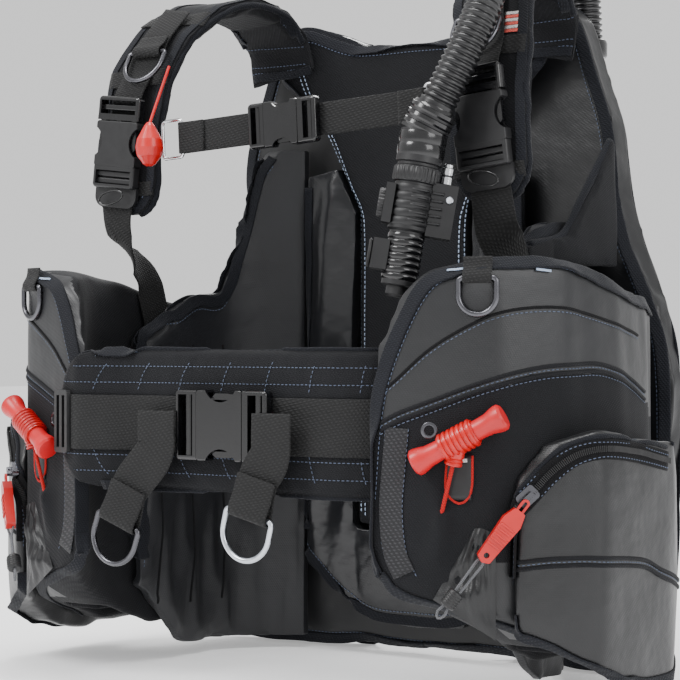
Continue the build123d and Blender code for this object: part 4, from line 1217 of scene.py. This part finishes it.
cargo_arc = points((252, -155, 140), (250, -156, 158), (254, -155, 176), (262, -153, 192), (281, -145, 213),
    (294, -135, 232), (307, -125, 246), (320, -114, 253), (331, -104, 256), (337, -76, 255), (339, -43, 250),
    (339, 0, 243))
zip_arc = points((262, -151, 140), (263, -151, 156), (267, -149, 175), (277, -148, 192), (288, -139, 209),
    (301, -129, 226), (313, -119, 238), (326, -109, 244), (335, -92, 245), (338, -51, 240), (340, 0, 231))
left_items.append(cord_on("cargo_piping_left", cargo_tree, cargo_arc, 0.0024, "binding"))
left_items.append(tape("zip_tape_left", cargo_tree, zip_arc, 0.017, "lining", thickness=0.0016, lift=0.0008))
left_items.append(stitches("zip_teeth_left", cargo_tree, [zip_arc], "rubber", lift=0.0022, pitch=0.0017,
    length=0.0011, width=0.0052))
left_items.append(stitches("zip_stitches_left", cargo_tree,
    [shifted(zip_arc, dx=-5, dh=5), shifted(zip_arc, dx=5, dh=-6)], lift=0.0016))
low_pipe = points((258, -152, 148), (264, -149, 150), (287, -140, 154), (307, -125, 156), (332, -104, 156),
    (338, -43, 150), (340, -9, 138), (330, 40, 124))
for k, d in enumerate((0.0, 6.0)):
    left_items.append(cord_on("cargo_low_piping_%d_left" % k, cargo_tree, shifted(low_pipe, dh=-d), 0.0019,
        "nylon"))
left_items.append(stitches("cargo_low_stitches_left", cargo_tree, [shifted(low_pipe, dh=-3)], width=0.0008))
hem = points((262, -155, 108), (268, -150, 98), (290, -135, 84), (320, -112, 66), (334, -100, 56),
    (340, -40, 44), (341, 15, 44), (318, 62, 52))
left_items.append(tape("cargo_hem_left", cargo_tree, hem, 0.011, thickness=0.0018))
back_rim = points((341, 12, 246), (332, 40, 240), (318, 62, 232), (306, 78, 226))
left_items.append(cord_on("cargo_rear_piping_left", cargo_tree, back_rim, 0.002, "binding"))

# Crumpled bellows between the panel and the cargo pocket
verts, faces, nu, nv = [], [], 26, 26
corners = [Vector(c) for c in ((212, 120, 0), (262, 88, 0), (246, 182, 0), (262, 176, 0))]
for j in range(nv + 1):
    for i in range(nu + 1):
        u, v = i / nu, j / nv
        q = corners[0] * (1 - u) * (1 - v) + corners[1] * u * (1 - v) + corners[2] * (1 - u) * v + corners[
            3] * u * v
        rim = min(1.0, 6 * min(u, 1 - u, v, 1 - v))
        crumple = 2.6 + 1.7 * math.sin(u * 9 + v * 4 + 2 * math.sin(v * 7)) + 1.3 * math.sin(
            v * 17 - u * 6) + 0.8 * math.sin(u * 31 + v * 13)
        verts.append(on_panel(q.x, q.y, 0)(0, 0, 1.2 + max(0.0, crumple) * rim))
for j in range(nv):
    for i in range(nu):
        a = j * (nu + 1) + i
        faces.append((a, a + 1, a + nu + 2, a + nu + 1))
left_items.append(piece("bellows_left", verts, faces, "coated_nylon"))

web_loop = ribbon("pocket_ring_loop_left", [on_panel(248, 386, 0)(0, q, s) for q,
    s in ((18, 1.2), (10, 2.4), (2, 6.8), (-3, 6.0), (-3.6, 2.2))],
                  (math.cos(math.radians(PANEL_TURN)), math.sin(math.radians(PANEL_TURN)), 0), 0.0245, 0.0016,
                  "webbing", step=0.002)
left_items.append(web_loop)
other_side(*left_items)

# Ripcords, handles, pullers and their cords -------------------------------------------------------
handle_at = on_panel(235, 253, 13, 28)
handle_axis = handle_at(1, 0, 0) - handle_at(0, 0, 0)
bar = lathe("handle_bar_left", [(6, -43.5), (9.5, -43), (11.4, -41), (11.5, -38), (10.4, -33), (9.1, -29),
    (8.7, -22), (8.5, -14), (8.5, 14),
            (8.7, 22), (9.1, 29), (10.4, 33), (11.5, 38), (11.4, 41), (9.5, 43), (6, 43.5)],
            handle_at(0, 0, 0), handle_axis, "pink_plastic", "ripcord_left", slot="red_plastic")
ribs = [(10.4, -16)]
for i in range(7):
    d = -15 + i * 4.4
    ribs += [(10.6, d), (12.0, d + 0.7), (12.2, d + 1.8), (12.0, d + 2.9), (10.7, d + 3.6)]
ribs += [(10.4, 16)]
sleeve = lathe("handle_sleeve_left", ribs, handle_at(0, 0, 0), handle_axis, "red_plastic", "ripcord_left",
    slot="red_plastic")
guide_at = on_panel(215, 172, 3)
pull_axis = (handle_at(0, 0, 0) - guide_at(0, 0, 0)).normalized()
collar = lathe("handle_collar_left", [(7.5, -21), (7.8, -20), (6.6, -18.5), (7.8, -17), (6.6, -15.5),
    (7.8, -14), (7.6, -11), (7.6, -6)], handle_at(0, 0, 0), pull_axis,
               "red_plastic", "ripcord_left", slot="red_plastic")
for obj in (bar, sleeve):
    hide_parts("ripcord_handle_left")
start = guide_at(0, 0, 0) - pull_axis * 0.015
finish_at = handle_at(0, 0, 0) - pull_axis * 0.012
rip = lathe("ripcord_line_left", [(1.2, 0), (1.9, 0.6)] + [(1.9 if i % 2 else 1.65, 1 + i * 1.2)
    for i in range(int((finish_at - start).length * 1000 / 1.2))],
            start, pull_axis, "red_cord", "ripcord_left", segments=14, slot="red_cord")
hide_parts("ripcord_left")
for obj in (bar, sleeve, collar, rip):
    twin = mirror_piece(obj, obj.name.replace("_left", "_right"), "ripcord_right",
                        ("ripcord_handle_right",) if obj in (bar, sleeve) else ("ripcord_right",)
                        if obj is rip else ())
    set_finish(twin, obj["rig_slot"])

puller_at = on_cargo(283.5, 203, 12.4, 232)
puller_axis = puller_at(1, 0, 0) - puller_at(0, 0, 0)
grips = []
for i in range(5):
    d = 26 + i * 4.6
    grips.append(tube("puller_grip_%d_left" % i, [puller_at(d, -6.6, 4.5), puller_at(d, -3, 5.2),
        puller_at(d, 3, 5.2), puller_at(d, 6.6, 4.5)], 0.0009, "red_plastic", "puller_left", n=8))
loop_cord = tube("puller_loop_left", [puller_at(58, 0, 3.2), puller_at(62, 2.4, 2), puller_at(72, 2.6, 0),
    puller_at(92, 2.1, 0), puller_at(107, 2.1, 0), puller_at(114, 3.4, 0.3), puller_at(118.5, 0, 0.5),
                 puller_at(114, -3.4, 0.3), puller_at(107, -2.1, 0), puller_at(92, -2.1, 0),
                 puller_at(72, -2.6, 0), puller_at(62, -2.4, -2), puller_at(58, 0, -3.2)], 0.0012,
                 "grey_cord", "puller_left", step=0.002, n=8, slot="grey_cord")
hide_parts("pull_cord_left")
lock_ribs = [lathe("lock_ribs_left", [(6.3, 94)] + [(6.9 if i % 2 else 6.35, 94.6 + i * 1.1)
    for i in range(10)] + [(6.3, 105.6)], puller_at(0, 0, 0), puller_axis, "rubber", "lock_left",
    segments=28)]
other_side(*grips, *lock_ribs)
twin = mirror_piece(loop_cord, "puller_loop_right", "puller_right", ("pull_cord_right",))
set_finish(twin, "grey_cord")

# Inflator: bands, ribs, button, nipple and mouthpiece ---------------------------------------------
inflator_top, inflator_tip = at(173, -122, 515.5), at(157, -140, 378)
down_axis = (inflator_tip - inflator_top).normalized()
side_axis = Vector((0.82, 0.57, 0))
side_axis = (side_axis - down_axis * side_axis.dot(down_axis)).normalized()
third_axis = down_axis.cross(side_axis)


def inflator(p, q, s):
    return inflator_top + (side_axis * p + third_axis * q + down_axis * s) / 1000


def rings(name, r, groove, start, count, pitch, material="gloss_plastic"):
    profile = [(r - groove, start - 0.3)]
    for i in range(count):
        d = start + i * pitch
        profile += [(r - groove * 0.4, d), (r, d + pitch * 0.2), (r, d + pitch * 0.6),
            (r - groove * 0.4, d + pitch * 0.75), (r - groove, d + pitch * 0.9)]
    return lathe(name, profile, inflator_top, down_axis, material)


rings("inflator_collar", 20.8, 0.9, 4, 2, 11)
lathe("inflator_knurl", [(19.8, 34.5), (20.6, 35.5), (20.6, 45.5), (19.8, 46.5)], inflator_top, down_axis,
    "black_plastic", segments=180, flutes=30, depth=0.9)
rings("inflator_ribs", 18.6, 1.2, 50, 5, 7.2, "black_plastic")
rings("inflator_lower_ribs", 16.1, 1.2, 92, 7, 5.8)
lathe("button_knurl", [(11.6, 3.5), (12.6, 4.2), (12.6, 8), (11.8, 9)], inflator(-20, 0, 68), -side_axis,
    "black_plastic", segments=144, flutes=24, depth=0.8)
lathe("connector_nipple", [(3.4, 26), (4.4, 27), (4.4, 29.5), (5.4, 30.4), (5.4, 36), (4.4, 37), (5.3, 38),
    (5.3, 44)], inflator(26, 0, 0), down_axis, "chrome")
lathe("connector_screw", [(3.2, 9.8), (3.2, 11.2), (2.6, 11.9), (0.6, 11.6)], inflator(31, 0, 58), third_axis,
    "aluminium", segments=24)
for i in range(5):
    d = 54 + i * 6.5
    tube("connector_rib_%d" % i, [inflator(14, 10.2, d), inflator(20, 10.6, d), inflator(26, 10.2, d)],
        0.0013, "black_plastic", n=8)
    tube("housing_rib_%d" % i, [inflator(-2, 17.9, d), inflator(6, 17.4, d), inflator(13, 14, d)], 0.0013,
        "black_plastic", n=8)
lathe("mouthpiece_lip", [(7, 6.5), (9.6, 7.4), (12.4, 8.2), (12.8, 9.6), (11, 10.6), (7.5, 10.2), (6.6, 8.4),
    (1, 7.6)], inflator(-20, 0, 112), -side_axis, "rubber")
hose_axis = (hose_path[-1] - hose_path[-8]).normalized()
cuff_profile = [(18.5, -2)]
for i in range(3):
    d = 0.5 + i * 7.6
    cuff_profile += [(19.6, d), (21.0, d + 1), (21.2, d + 4.2), (20.2, d + 5.6), (19.6, d + 6.6)]
lathe("hose_cuff", cuff_profile, hose_path[-1], hose_axis, "gloss_plastic")
entry_axis = (hose_path[7] - hose_path[0]).normalized()
lathe("hose_entry", [(15.5, -6), (19, -5), (20.4, -3), (20.6, 9), (19.4, 12), (18.4, 12.5)], hose_path[0],
    entry_axis, "gloss_plastic")
keeper_index = int(len(hose_path) * 0.73)
keeper_spot, keeper_next = hose_path[keeper_index], hose_path[keeper_index + 8]
lathe("hose_keeper", [(18.2, -12), (19.2, -11.6), (19.4, 0), (19.2, 11.6), (18.2, 12)], keeper_spot,
    keeper_next - keeper_spot, "webbing")

# Valves: fluted caps ------------------------------------------------------------------------------
radius = (WING_HALF**2 + WING_SWEEP**2) / (2 * WING_SWEEP)
for i, (x, h) in enumerate(((-196, 96), (-150, 600))):
    normal = Vector((x / radius, math.sqrt(1 - (x / radius) ** 2), 0))
    centre = at(0, 190 - radius, h) + normal * (radius + 1.2) / 1000
    lathe("valve_flutes_%d" % i, [(27.4, 0.6), (28.6, 1.4), (28.6, 4.2), (27, 5.4), (24.6, 9.4), (22.6, 9.8)],
        centre, normal, "black_plastic", segments=192, flutes=32, depth=0.9)
    lathe("valve_cap_%d" % i, [(21, 15.4), (20.4, 17.4), (18.6, 18.7), (9, 18.9), (8.4, 17.9), (1, 17.8)],
        centre, normal, "gloss_plastic")

# Tank band and carrying handle ------------------------------------------------------------------
band_path = [Vector((math.cos(a), math.sin(a), 0)) * 0.0936 for a in np.linspace(0, 2 * math.pi, 145)]
verts, faces = sections(band_path, [UP] * len(band_path), flat_outline(0.050, 0.0028), closed_ends=False)
tank_web = piece("tank_web", verts, faces, "webbing", slot="webbing")
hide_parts("tank_band")
band_tree = surface_of(tank_web)
stitches("tank_web_stitches", band_tree, [[Vector((math.cos(a) * 0.097, math.sin(a) * 0.097, z))
    for a in np.linspace(2.2, 3.6, 20)] for z in (-0.019, 0.019)])
grip_outline = [(-50, -30), (-56, -8), (-52, 14), (-34, 27), (0, 30), (34, 27), (52, 14), (56, -8), (50, -30)]
grip = ribbon("carry_handle", [at(x, 165.5, 588 + h) for x, h in grip_outline], (0, 1, 0), 0.005, 0.017,
    "webbing", slot="webbing")
base = ribbon("carry_handle_base", points((-56, 165.5, 562), (0, 165.5, 562), (56, 165.5, 562)), (0, 0, 1),
    0.018, 0.0046, "webbing", slot="webbing")
for obj in (grip, base):
    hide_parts("grab_handle")
